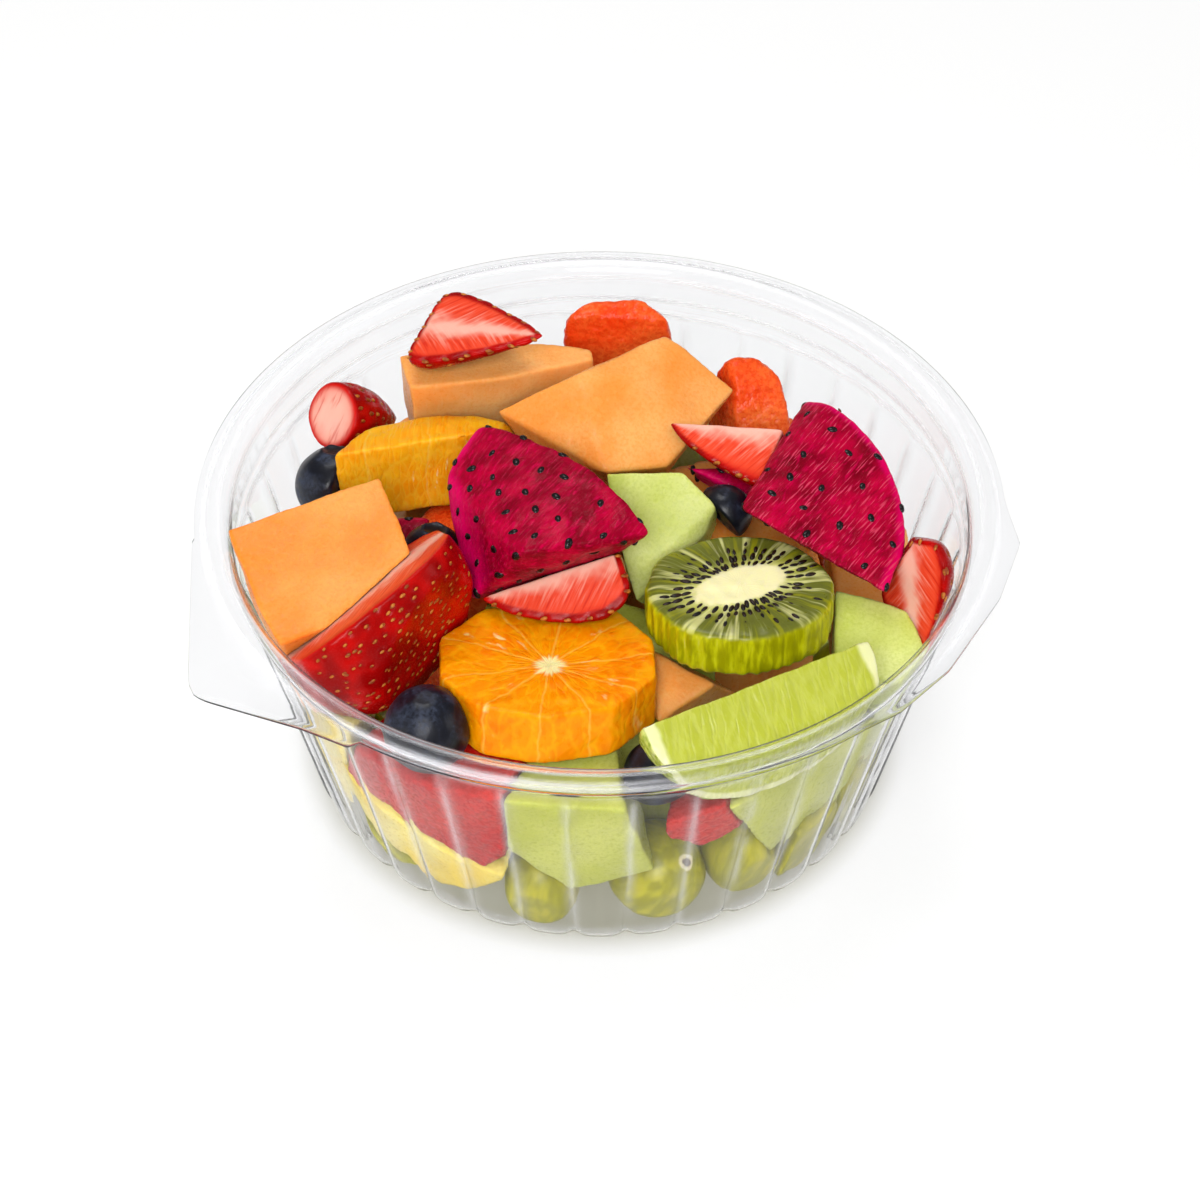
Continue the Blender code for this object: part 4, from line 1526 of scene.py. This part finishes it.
@dataclass
class DragonfruitChunk(FruitPiece):
    """A wet piece of red dragonfruit with black seeds; rind_way points to the side where its skin was."""

    fruit: Fruit = Fruit.DRAGONFRUIT
    grain: float = 0.55
    rounding: float = 0.55
    rind_way: Point = (0.0, 0.0, -1.0)
    spacing: float = 6.3
    seed_size: Point = (1.2, 0.85, 0.6)
    seed_sink: float = 0.24
    facing: ClassVar[float] = 0.62
    no_rind: ClassVar[float] = 9.0

    def relief(self, points: Array) -> Array:
        """Soft hollows, and the small waves of the fibres."""
        slow, fast = Ripple(self.seed, 8.0), Ripple(self.seed + 1, 2.4)
        return 0.16 * slow.at(points) + 0.05 * fast.at(points) - 0.08

    def measures(self, points: Array) -> dict[str, Array]:
        """How far each point is in from the skin side.

        Args:
            points: points in the piece's own millimetres, one a row.

        Returns:
            The values by their attribute's name.
        """
        local = self.axes @ np.array(self.rind_way)
        faces = self.normals @ (local / np.linalg.norm(local)) > self.facing
        if not faces.any():
            return {"rim": np.full(len(points), self.no_rind)}
        return {"rim": -(points @ self.normals[faces].T - self.offsets[faces]).max(axis=1)}

    def add_details(self, draft: Draft) -> list[bpy.types.Material]:
        """Adds the black seeds, scattered at least their spacing apart.

        Args:
            draft: the mesh that is being built.

        Returns:
            The materials that the details need.
        """
        points = draft.points[0]
        draw = np.random.default_rng(self.seed)
        chosen: list[int] = []
        for index in draw.permutation(len(points)):
            near = self.spacing * draw.uniform(0.8, 1.3)
            if all(np.linalg.norm(points[index] - points[other]) > near for other in chosen):
                chosen.append(int(index))
        normals = self.settle(points[chosen], 2)[1]
        heads = draw.normal(size=(len(chosen), 3))
        self.scatter(draft, points[chosen], normals, heads, self.seed_size, self.seed_sink)
        return [Seed.DARK.material()]


@dataclass
class RoundFruit(FruitPiece):
    """A berry or a grape: an ellipsoid, pressed flat where it meets its neighbours."""

    radii: Point = (9.0, 9.0, 9.0)
    tolerance: float = 0.8
    rounding: float = 0.25
    grain: float = 0.55

    def skin(self, points: Array) -> Array:
        """Distance outside the ellipsoid."""
        radii = np.array(self.radii)
        return (np.linalg.norm(points / radii, axis=1) - 1.0) * radii.min()

    def from_pole(self, points: Array) -> Array:
        """Distance from the line through the piece's +X end, large on the other half."""
        return np.where(points[:, 0] > 0.0, np.hypot(points[:, 1], points[:, 2]), 99.0)


@dataclass
class Blueberry(RoundFruit):
    """A blueberry with its open crown at +X."""

    fruit: Fruit = Fruit.BLUEBERRY
    crown: float = 2.5

    def relief(self, points: Array) -> Array:
        """The crown's hollow and its five low points.

        Args:
            points: points in the piece's own millimetres, one a row.

        Returns:
            How far each point is raised, in millimetres.
        """
        out = self.from_pole(points) / self.crown
        turn = np.arctan2(points[:, 2], points[:, 1])
        hollow = -0.9 * np.clip(1.0 - out, 0.0, 1.0) ** 0.5
        tips = 0.45 * np.exp(-((out - 1.05) / 0.22) ** 2) * (0.65 + 0.35 * np.cos(5.0 * turn))
        return hollow + tips + 0.06 * Ripple(self.seed, 6.0).at(points) - 0.04

    def measures(self, points: Array) -> dict[str, Array]:
        """Where the crown is."""
        return {"crown": np.clip((1.0 - self.from_pole(points) / self.crown) / 0.3, 0.0, 1.0)}


@dataclass
class Grape(RoundFruit):
    """A green grape with the stem's scar at +X."""

    fruit: Fruit = Fruit.GRAPE
    grain: float = 0.75

    def relief(self, points: Array) -> Array:
        """The scar's ring and hollow, and a faint unevenness.

        Args:
            points: points in the piece's own millimetres, one a row.

        Returns:
            How far each point is raised, in millimetres.
        """
        out = self.from_pole(points)
        ring = 0.22 * np.exp(-((out - 1.6) / 0.45) ** 2) - 0.35 * np.exp(-(out / 0.9) ** 2)
        return ring + 0.07 * Ripple(self.seed, 9.0).at(points) - 0.04

    def measures(self, points: Array) -> dict[str, Array]:
        """How far each point is from the stem's scar."""
        return {"crown": self.from_pole(points)}


@dataclass
class ClearBowl:
    """The clear fluted bowl with its ledge, rolled rim and two lifting tabs."""

    wall: float = 0.7
    flutes: int = 36
    columns_per_flute: int = 12
    phase: float = -5.0
    foot: tuple[tuple[float, float, float], ...] = ((61.0, 0.35, 0.6), (63.4, 1.1, 1.5), (64.5, 3.5, 1.8))
    wall_top: tuple[float, float, float] = (78.2, 60.0, 0.8)
    rim: tuple[tuple[float, float], ...] = ((79.9, 61.6), (80.4, 69.2), (81.4, 71.25), (83.3, 72.3),
                                            (84.8, 71.6), (85.7, 70.95), (86.7, 70.75))
    flange: float = 88.0
    flange_height: float = 70.75
    gleams: tuple[tuple[float, float], ...] = ((78.9, 60.6), (80.3, 63.2), (80.5, 69.0), (82.6, 72.2),
                                               (85.9, 70.9))
    gleam_width: float = 0.7
    crown_share: float = 0.92
    crown_width: float = 0.45
    groove_width: float = 0.22
    edge_round: float = 0.25
    edge_soft: tuple[float, float] = (0.08, 0.06)
    groove_fades: tuple[float, float] = (6.0, 3.0)
    long_stretch: float = 20.0
    steps_apart: tuple[float, float] = (1.6, 0.6)
    smoothings: int = 3
    flange_shares: tuple[float, ...] = (0.33, 0.66, 1.0)
    floor_shares: tuple[float, ...] = (0.1, 0.4, 0.7)
    left_tab: tuple[tuple[float, float], ...] = ((-87.5, -13.4), (-86.2, -32.1), (-84.4, -56.5),
                                                 (-82.8, -60.3), (-80.0, -62.0), (-60.5, -69.7),
                                                 (-50.2, -75.1))
    right_tab: tuple[tuple[float, float], ...] = ((50.3, -71.9), (60.9, -65.1), (71.9, -53.0), (84.2, -31.5),
                                                  (90.0, -14.4), (88.6, -5.4), (87.7, 2.7))

    def __post_init__(self) -> None:
        """Places the columns of points round the bowl, and how far each is from a groove."""
        self.columns = self.flutes * self.columns_per_flute
        steps = np.arange(self.columns)
        self.angles = math.radians(self.phase) + steps * math.tau / self.columns
        self.across = np.abs(np.sin(steps * math.pi / self.columns_per_flute))

    def profile(self) -> Array:
        """The middle line of the wall as rows of radius, height and flute depth, its bends rounded.

        Returns:
            The rows, from the foot to the flange.
        """
        rough = [*self.foot, self.wall_top, *((radius, height, 0.0) for radius, height in self.rim)]
        line = [np.array(rough[0])]
        for before, after in zip(rough, rough[1:]):
            before, after = np.array(before), np.array(after)
            length = float(np.linalg.norm((after - before)[:2]))
            apart = self.steps_apart[0] if length > self.long_stretch else self.steps_apart[1]
            steps = max(int(length / apart), 1)
            line += [before + (after - before) * (step + 1) / steps for step in range(steps)]
        line = np.array(line)
        for _ in range(self.smoothings):
            line[1:-1] = (line[:-2] + 2.0 * line[1:-1] + line[2:]) / 4.0
        return line

    def side(self, line: Array, offset: float) -> Array:
        """The line moved sideways by offset.

        Args:
            line: rows of radius, height and flute depth.
            offset: how far, in millimetres.

        Returns:
            The moved rows.
        """
        ways = np.gradient(line[:, :2], axis=0)
        ways /= np.linalg.norm(ways, axis=1)[:, None]
        moved = line.copy()
        moved[:, 0] += ways[:, 1] * offset
        moved[:, 1] -= ways[:, 0] * offset
        return moved

    def edge(self, angle: float) -> float:
        """How far out the flange and its tabs reach at an angle.

        Args:
            angle: the angle round the bowl, in radians.

        Returns:
            The radius, in millimetres.
        """
        way = np.array([math.cos(angle), math.sin(angle)])
        reach = self.flange
        for outline in (self.left_tab, self.right_tab):
            for start, end in zip(outline, outline[1:]):
                start, side = np.array(start), np.array(end) - np.array(start)
                across = way[0] * side[1] - way[1] * side[0]
                if abs(across) < 1e-9:
                    continue
                distance = (start[0] * side[1] - start[1] * side[0]) / across
                share = (start[0] * way[1] - start[1] * way[0]) / across
                if distance > 0.0 and -1e-6 <= share <= 1.0 + 1e-6:
                    reach = max(reach, distance)
        return reach

    def rings(self) -> list[Ring]:
        """The rings of points from the middle of the underside over the flange's edge to the middle inside.

        Returns:
            The rings in that order.
        """
        half = self.wall / 2.0
        line = self.profile()
        under, over = self.side(line, half), self.side(line, -half)
        under[0, 1] = 0.0
        crowns = (1.0 - np.exp(-(self.across / self.crown_width) ** 2)) * self.crown_share
        edges = np.array([self.edge(angle) for angle in self.angles])
        inset, bend = edges - self.edge_round, half * 0.35
        inward, upward = self.edge_soft
        low, high = self.flange_height - half, self.flange_height + half
        last, first = under[-1][0], over[-1][0]
        rings = [(row[0] + row[2] * crowns, row[1]) for row in under]
        rings += [(last + (inset - last) * share, low) for share in self.flange_shares]
        rings += [(edges - inward, low + upward), (edges, low + bend)]
        rings += [(edges, high - bend), (edges - inward, high - upward)]
        rings += [(first + (inset - first) * share, high) for share in self.flange_shares[::-1]]
        rings += [(row[0] + row[2] * crowns, row[1]) for row in over[::-1]]
        foot = rings[-1][0]
        rings = [(foot * share, 0.0) for share in self.floor_shares] + rings
        return rings + [(foot * share, self.wall) for share in self.floor_shares[::-1]]

    def faces(self, count: int) -> tuple[Array, Array]:
        """The four-sided faces between the rings, and the fans that close the floor below and above.

        Args:
            count: how many rings there are.

        Returns:
            The corners of every face in turn and each face's number of corners.
        """
        base = np.arange(self.columns)
        after = (base + 1) % self.columns
        faces = []
        for ring in range(count - 1):
            near, far = ring * self.columns, (ring + 1) * self.columns
            faces.append(np.column_stack([near + base, near + after, far + after, far + base]).ravel())
        top = (count - 1) * self.columns
        below = np.full(self.columns, count * self.columns)
        faces.append(np.column_stack([after, base, below]).ravel())
        faces.append(np.column_stack([top + base, top + after, below + 1]).ravel())
        return np.concatenate(faces), np.repeat((4, 3), ((count - 1) * self.columns, 2 * self.columns))

    def painted_highlights(self, rings: list[Ring]) -> dict[str, Array]:
        """Where white highlights are painted on the plastic: in the flutes' grooves, and along the bends of
        the ledge and the rim.

        Args:
            rings: the rings of points.

        Returns:
            The values by their attribute's name.
        """
        grooves = np.exp(-(self.across / self.groove_width) ** 2)
        above, below = self.groove_fades
        fade = [float(np.clip(min((self.wall_top[1] + 1.0 - height) / above, (height - 0.8) / below), 0, 1))
                for _, height in rings]
        middle = [(float(np.mean(radius)), height) for radius, height in rings]
        gleams = [max(math.exp(-(math.dist(spot, mark) / self.gleam_width) ** 2) for mark in self.gleams)
                  for spot in middle]
        fans = (0.0, 0.0)
        return {"groove": np.append(np.outer(fade, grooves), fans),
                "ring": np.append(np.repeat(gleams, self.columns), fans)}

    def build(self) -> bpy.types.Object:
        """Builds, dresses and places the bowl.

        Returns:
            The bowl.
        """
        rings = self.rings()
        cosines, sines = np.cos(self.angles), np.sin(self.angles)
        points = [np.column_stack([radii * cosines, radii * sines, np.full(self.columns, height)])
                  for radii, height in rings]
        points = np.vstack(points + [[(0.0, 0.0, 0.0), (0.0, 0.0, self.wall)]])
        draft = Draft()
        draft.add(points, *self.faces(len(rings)), MAIN, **self.painted_highlights(rings))
        piece = draft.finish("clear_bowl", Matrix.Identity(4), [ClearPlasticFinish().dress()])
        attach(piece, "root")
        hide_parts("bowl")
        log.info("%s: %d points", piece.name, len(points))
        return piece


# The heap


@dataclass
class FruitHeap:
    """All the fruit, from the pieces on top to the blocks in the middle."""

    fine: float = 0.63
    through_wall: float = 0.84
    unseen: float = 1.6
    built: list[bpy.types.Object] = field(default_factory=list)

    def strawberries(self) -> list[FruitPiece]:
        """The cut strawberries.

        Returns:
            The pieces in the order in which they are built.
        """
        blunt = ((-0.03, 0.02), (0.0, 0.36), (0.06, 0.62), (0.18, 0.88), (0.38, 1.0), (0.62, 1.0),
                 (0.80, 0.92), (0.93, 0.74), (1.0, 0.50), (1.03, 0.05))
        cone = ((-0.03, 0.05), (0.0, 0.80), (0.05, 0.96), (0.15, 1.0), (0.35, 0.86), (0.6, 0.6), (0.85, 0.30),
                (1.0, 0.06), (1.02, 0.01))
        tip = ((-0.05, 0.98), (0.0, 0.98), (0.25, 1.0), (0.5, 0.83), (0.72, 0.56), (0.9, 0.26), (1.0, 0.06),
               (1.02, 0.01))
        both = CutSide.TOP_AND_BACK
        return [
            Strawberry("strawberry_back", centre=(-26.2, 36.8, 88.3), along=(0.91, -0.33, 0.16),
                       up=(-0.20, 0.02, 0.97), length=29, width=25.5, depth=7, profile=cone, grain=0.4,
                       pitch=3.4, rim=0.9),
            Strawberry("strawberry_front", centre=(-50.0, -30.6, 70.5), along=(-31, -21, -15),
                       up=(-0.61, 0.36, 0.70), length=44, width=38, depth=23, profile=blunt, grain=0.45,
                       pitch=3.1, pit_width=0.5, pit_depth=0.28, seed_size=(0.68, 0.36, 0.26)),
            Strawberry("strawberry_centre", centre=(-10.4, -25.0, 71.6), along=(-28.4, -5, -8),
                       up=(0.1, -0.55, 0.83), length=31, width=25, depth=9, cut_side=both, grain=0.4,
                       pitch=3.6, rim=1.3),
            Strawberry("strawberry_back_right", centre=(34.0, 13.4, 79.8), along=(-1, 0.12, -0.02),
                       up=(0.05, -0.45, 0.9), length=37, width=30, depth=12, cut_side=both, grain=0.5,
                       rim=0.8),
            Strawberry("strawberry_small_left", centre=(-60.5, 33.0, 66.5), along=(0.60, 0.55, -0.50),
                       length=21, width=15.4, depth=7.7, cut_side=CutSide.END, profile=tip, grain=0.45,
                       pitch=3.4, fruit=Fruit.STRAWBERRY_END),
            Strawberry("strawberry_right", centre=(66.0, -27.5, 65.5), along=(0.02, -0.5, -0.75),
                       up=(-0.75, -0.45, 0.4), length=28, width=21, depth=8, grain=0.5, rim=0.8),
            Strawberry("strawberry_middle_back", centre=(-14.0, 60.0, 41.0), along=(-1, -0.2, 0.1),
                       up=(0, -1, 0.2), length=36, width=30, depth=12, grain=0.7),
        ]

    def slices_and_wedges(self) -> list[FruitPiece]:
        """The kiwi, the oranges, the lime and the dragonfruit.

        Returns:
            The pieces in the order in which they are built.
        """
        return [
            KiwiSlice("kiwi_slice", Fruit.KIWI, (29.5, -28.6, 72.2), (1, 0.05, 0), (0, 0.10, 1)),
            OrangeChunk("orange_front", Fruit.ORANGE, (-11.0, -43.5, 65.6), (1, 0, 0), (0, 0.15, 1),
                        grain=0.5),
            OrangeChunk("orange_back_left", Fruit.ORANGE_SIDE, grain=0.55),
            LimeWedge("lime_wedge", Fruit.LIME, (32.0, -58.0, 72.5), (48.6, 25.2, 1.0), (0.16, -0.31, 0.94)),
            DragonfruitChunk("dragonfruit_left", rind_way=(-0.8, 0.5, 0.3)),
            DragonfruitChunk("dragonfruit_right", Fruit.DRAGONFRUIT_STREAKED, rind_way=(0.9, 0.35, 0.0),
                             spacing=7.6),
            DragonfruitChunk("dragonfruit_small_left"),
            DragonfruitChunk("dragonfruit_small_right"),
        ]

    def round_fruit(self) -> list[FruitPiece]:
        """The blueberries and the grapes.

        Returns:
            The pieces in the order in which they are built.
        """
        berries = {
            "front": ((-35.7, -58.9, 60.0), (8.8, 9.0, 9.0), (-0.3, 0.5, -0.8)),
            "back_left": ((-59.2, 16.8, 60.0), (8.7, 8.9, 8.9), (0, 0.3, 0.9)),
            "middle": ((-36.2, -9.3, 63.6), (6.3, 6.6, 6.6), (0.1, 0.2, 0.9)),
            "back_right": ((27.0, -1.4, 68.0), (6.1, 6.3, 6.3), (-0.6, 0.7, 0.3)),
            "front_right": ((11.6, -63.0, 51.0), (6.6, 6.8, 6.8), (0, 0.3, 1)),
        }
        grapes = {
            "front": ((12.2, -54.4, 12.0), (11.0, 10.6, 10.8), (0.5, -0.4, 0.6)),
            "front_left": ((-12.6, -56.6, 10.2), (9.8, 8.4, 8.6), (0.1, 0.3, 1)),
            "front_right": ((31.0, -50.0, 14.0), (10.5, 8.6, 8.6), (0.3, 0.2, 1)),
            "right": ((42.5, -43.0, 13.0), (12.0, 9.4, 9.4), (0.5, 0.4, 0.9)),
            "far_right": ((52.5, -27.0, 12.0), (12.0, 9.4, 9.4), (0.2, 0.7, 0.5)),
            "left": ((-55.0, -22.0, 16.0), (12.0, 9.0, 9.0), (-0.3, 0.3, 1)),
            "lower_left": ((-43.0, -38.0, 11.0), (12.0, 9.2, 9.2), (-0.5, 0.6, 0.3)),
            "low_right": ((56.0, 2.0, 11.0), (12.0, 9.4, 9.4), (0.2, 1, 0.2)),
            "low_back_right": ((28.0, 50.0, 11.0), (12.0, 9.4, 9.4), (1, -0.5, 0.2)),
            "low_back_left": ((-29.0, 49.0, 11.0), (12.0, 9.4, 9.4), (1, 0.6, 0.1)),
            "low_left": ((-56.0, 3.0, 11.0), (12.0, 9.4, 9.4), (0.1, 1, 0.2)),
        }
        made: list[FruitPiece] = []
        for name, (centre, radii, along) in berries.items():
            made.append(Blueberry("blueberry_" + name, Fruit.BLUEBERRY, centre, along, grain=0.45,
                                  radii=radii))
        for name, (centre, radii, along) in grapes.items():
            made.append(Grape("grape_" + name, Fruit.GRAPE, centre, along, radii=radii))
        return made

    def chunks(self) -> list[FruitPiece]:
        """The blocks of melon: what is left of the nodes.

        Returns:
            The pieces in the order in which they are built.
        """
        kinds = {"cantaloupe": Fruit.CANTALOUPE, "honeydew": Fruit.HONEYDEW, "watermelon": Fruit.WATERMELON,
                 "yellow_melon": Fruit.YELLOW_MELON}
        # pieces behind the front wall take darker copies: painted shade, and partly the watermelon's own
        # deeper red
        shaded_behind_wall = {Fruit.HONEYDEW: Fruit.HONEYDEW_RIPE, Fruit.WATERMELON: Fruit.WATERMELON_RIPE}
        made: list[FruitPiece] = []
        for node in sorted(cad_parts):
            fruit = next((kind for start, kind in kinds.items() if node.startswith(start)), None)
            if fruit is None:
                continue
            grain = self.fine
            if "core" in node:
                grain = self.unseen
            elif "low" in node or "middle" in node or node.endswith(("front_left", "front_right")):
                grain = self.through_wall
            rough, rounding = (2.2, 0.4) if fruit is Fruit.WATERMELON else (1.0, 0.22)
            if "front" in node:
                fruit = shaded_behind_wall.get(fruit, fruit)
            # cantaloupe_left takes the deeper-coloured copy
            elif node == "cantaloupe_left":
                fruit = Fruit.CANTALOUPE_RIPE
            # painted light: cantaloupe_back takes the lighter copy
            elif node == "cantaloupe_back":
                fruit = Fruit.CANTALOUPE_PALE
            made.append(MelonChunk(node, fruit, grain=grain, rough=rough, rounding=rounding))
        return made

    def build(self) -> None:
        """Builds every piece."""
        for piece in self.strawberries() + self.slices_and_wedges() + self.round_fruit() + self.chunks():
            self.built.append(piece.build())


# Studio


@dataclass(frozen=True)
class SoftLight:
    """One soft square light; its places and its side are in millimetres, its power in watts."""

    name: str
    place: Point
    aim: Point
    size: float
    watts: float

    def hang(self) -> None:
        """Hangs the light in the scene."""
        light = bpy.data.lights.new(self.name, "AREA")
        light.energy, light.size = self.watts, self.size * MM
        obj = bpy.data.objects.new(self.name, light)
        obj.location = Vector(self.place) * MM
        obj.rotation_euler = (Vector(self.aim) - Vector(self.place)).to_track_quat("-Z", "Y").to_euler()
        bpy.context.scene.collection.objects.link(obj)


@dataclass
class Studio:
    """Pale floor, soft lights and the camera at the photograph's angle."""

    lamps: tuple[SoftLight, ...] = (
        SoftLight("top", (-120.0, 260.0, 820.0), (0.0, 0.0, 50.0), 360.0, 2.3),
        SoftLight("front", (-80.0, -700.0, 680.0), (0.0, 0.0, 40.0), 420.0, 6.3),
        SoftLight("right", (700.0, -150.0, 420.0), (0.0, 0.0, 50.0), 420.0, 0.9),
        SoftLight("left", (-720.0, -250.0, 330.0), (0.0, 0.0, 50.0), 420.0, 0.9),
    )
    camera_place: Point = (0.0, -525.6, 539.3)
    camera_pitch: float = 43.5
    lens: float = 97.08
    floor_size: float = 3000.0
    sensor: float = 36.0
    clip: tuple[float, float] = (0.02, 20.0)
    world_light: float = 0.30
    world_through: float = 0.85
    bounces: int = 9
    clear_bounces: int = 8
    diffuse_bounces: int = 1
    glossy_bounces: int = 2

    def floor(self) -> None:
        """Lays the floor."""
        mesh = bpy.data.meshes.new("floor")
        reach = self.floor_size * MM
        mesh.from_pydata([(-reach, -reach, 0), (reach, -reach, 0), (reach, reach, 0), (-reach, reach, 0)], [],
                         [(0, 1, 2, 3)])
        mesh.materials.append(FloorFinish().dress())
        floor = bpy.data.objects.new("floor", mesh)
        bpy.context.scene.collection.objects.link(floor)
        floor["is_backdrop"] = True

    def lights(self) -> None:
        """Hangs the lights, lights the room and sets how often light is passed on."""
        for lamp in self.lamps:
            lamp.hang()
        bpy.context.scene.world = RoomLight("studio").lit(self.world_light, self.world_through)
        cycles = bpy.context.scene.cycles
        cycles.max_bounces = cycles.transmission_bounces = self.bounces
        cycles.transparent_max_bounces = self.clear_bounces
        cycles.diffuse_bounces, cycles.glossy_bounces = self.diffuse_bounces, self.glossy_bounces

    def camera(self) -> None:
        """Places the camera."""
        lens = bpy.data.cameras.new("camera")
        lens.lens, lens.sensor_width = self.lens, self.sensor
        lens.clip_start, lens.clip_end = self.clip
        camera = bpy.data.objects.new("camera", lens)
        camera.location = Vector(self.camera_place) * MM
        camera.rotation_euler = (math.radians(90.0 - self.camera_pitch), 0.0, 0.0)
        bpy.context.scene.collection.objects.link(camera)
        bpy.context.scene.camera = camera

    def build(self) -> None:
        """Sets up the studio."""
        self.floor()
        self.lights()
        self.camera()
        bpy.context.scene.view_settings.view_transform = "Standard"


def as_lists(box: tuple[Vector, Vector]) -> list[list[float]]:
    """A box as plain lists of numbers."""
    return [[float(part) for part in corner] for corner in box]


def box_round(pieces: list[bpy.types.Object]) -> tuple[Vector, Vector]:
    """The smallest box round the points of the pieces, in metres.

    Args:
        pieces: the visual pieces.

    Returns:
        The box's low and high corners.
    """
    lows, highs = [], []
    for piece in pieces:
        points = np.empty(len(piece.data.vertices) * 3, np.float32)
        piece.data.vertices.foreach_get("co", points)
        place = np.array(piece.matrix_world)
        turned = points.reshape(-1, 3) @ place[:3, :3].T + place[:3, 3]
        lows.append(turned.min(axis=0))
        highs.append(turned.max(axis=0))
    return Vector(np.min(lows, axis=0)), Vector(np.max(highs, axis=0))


def main() -> None:
    """Builds the fruit salad."""
    logging.basicConfig(level=logging.INFO, format="%(message)s")
    cad_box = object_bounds()
    heap = FruitHeap()
    heap.build()
    bowl = ClearBowl().build()
    Studio().build()
    bpy.context.view_layer.update()
    {"cad": as_lists(cad_box), "visual": as_lists(box_round([*heap.built, bowl]))}


if __name__ == "__main__":
    main()
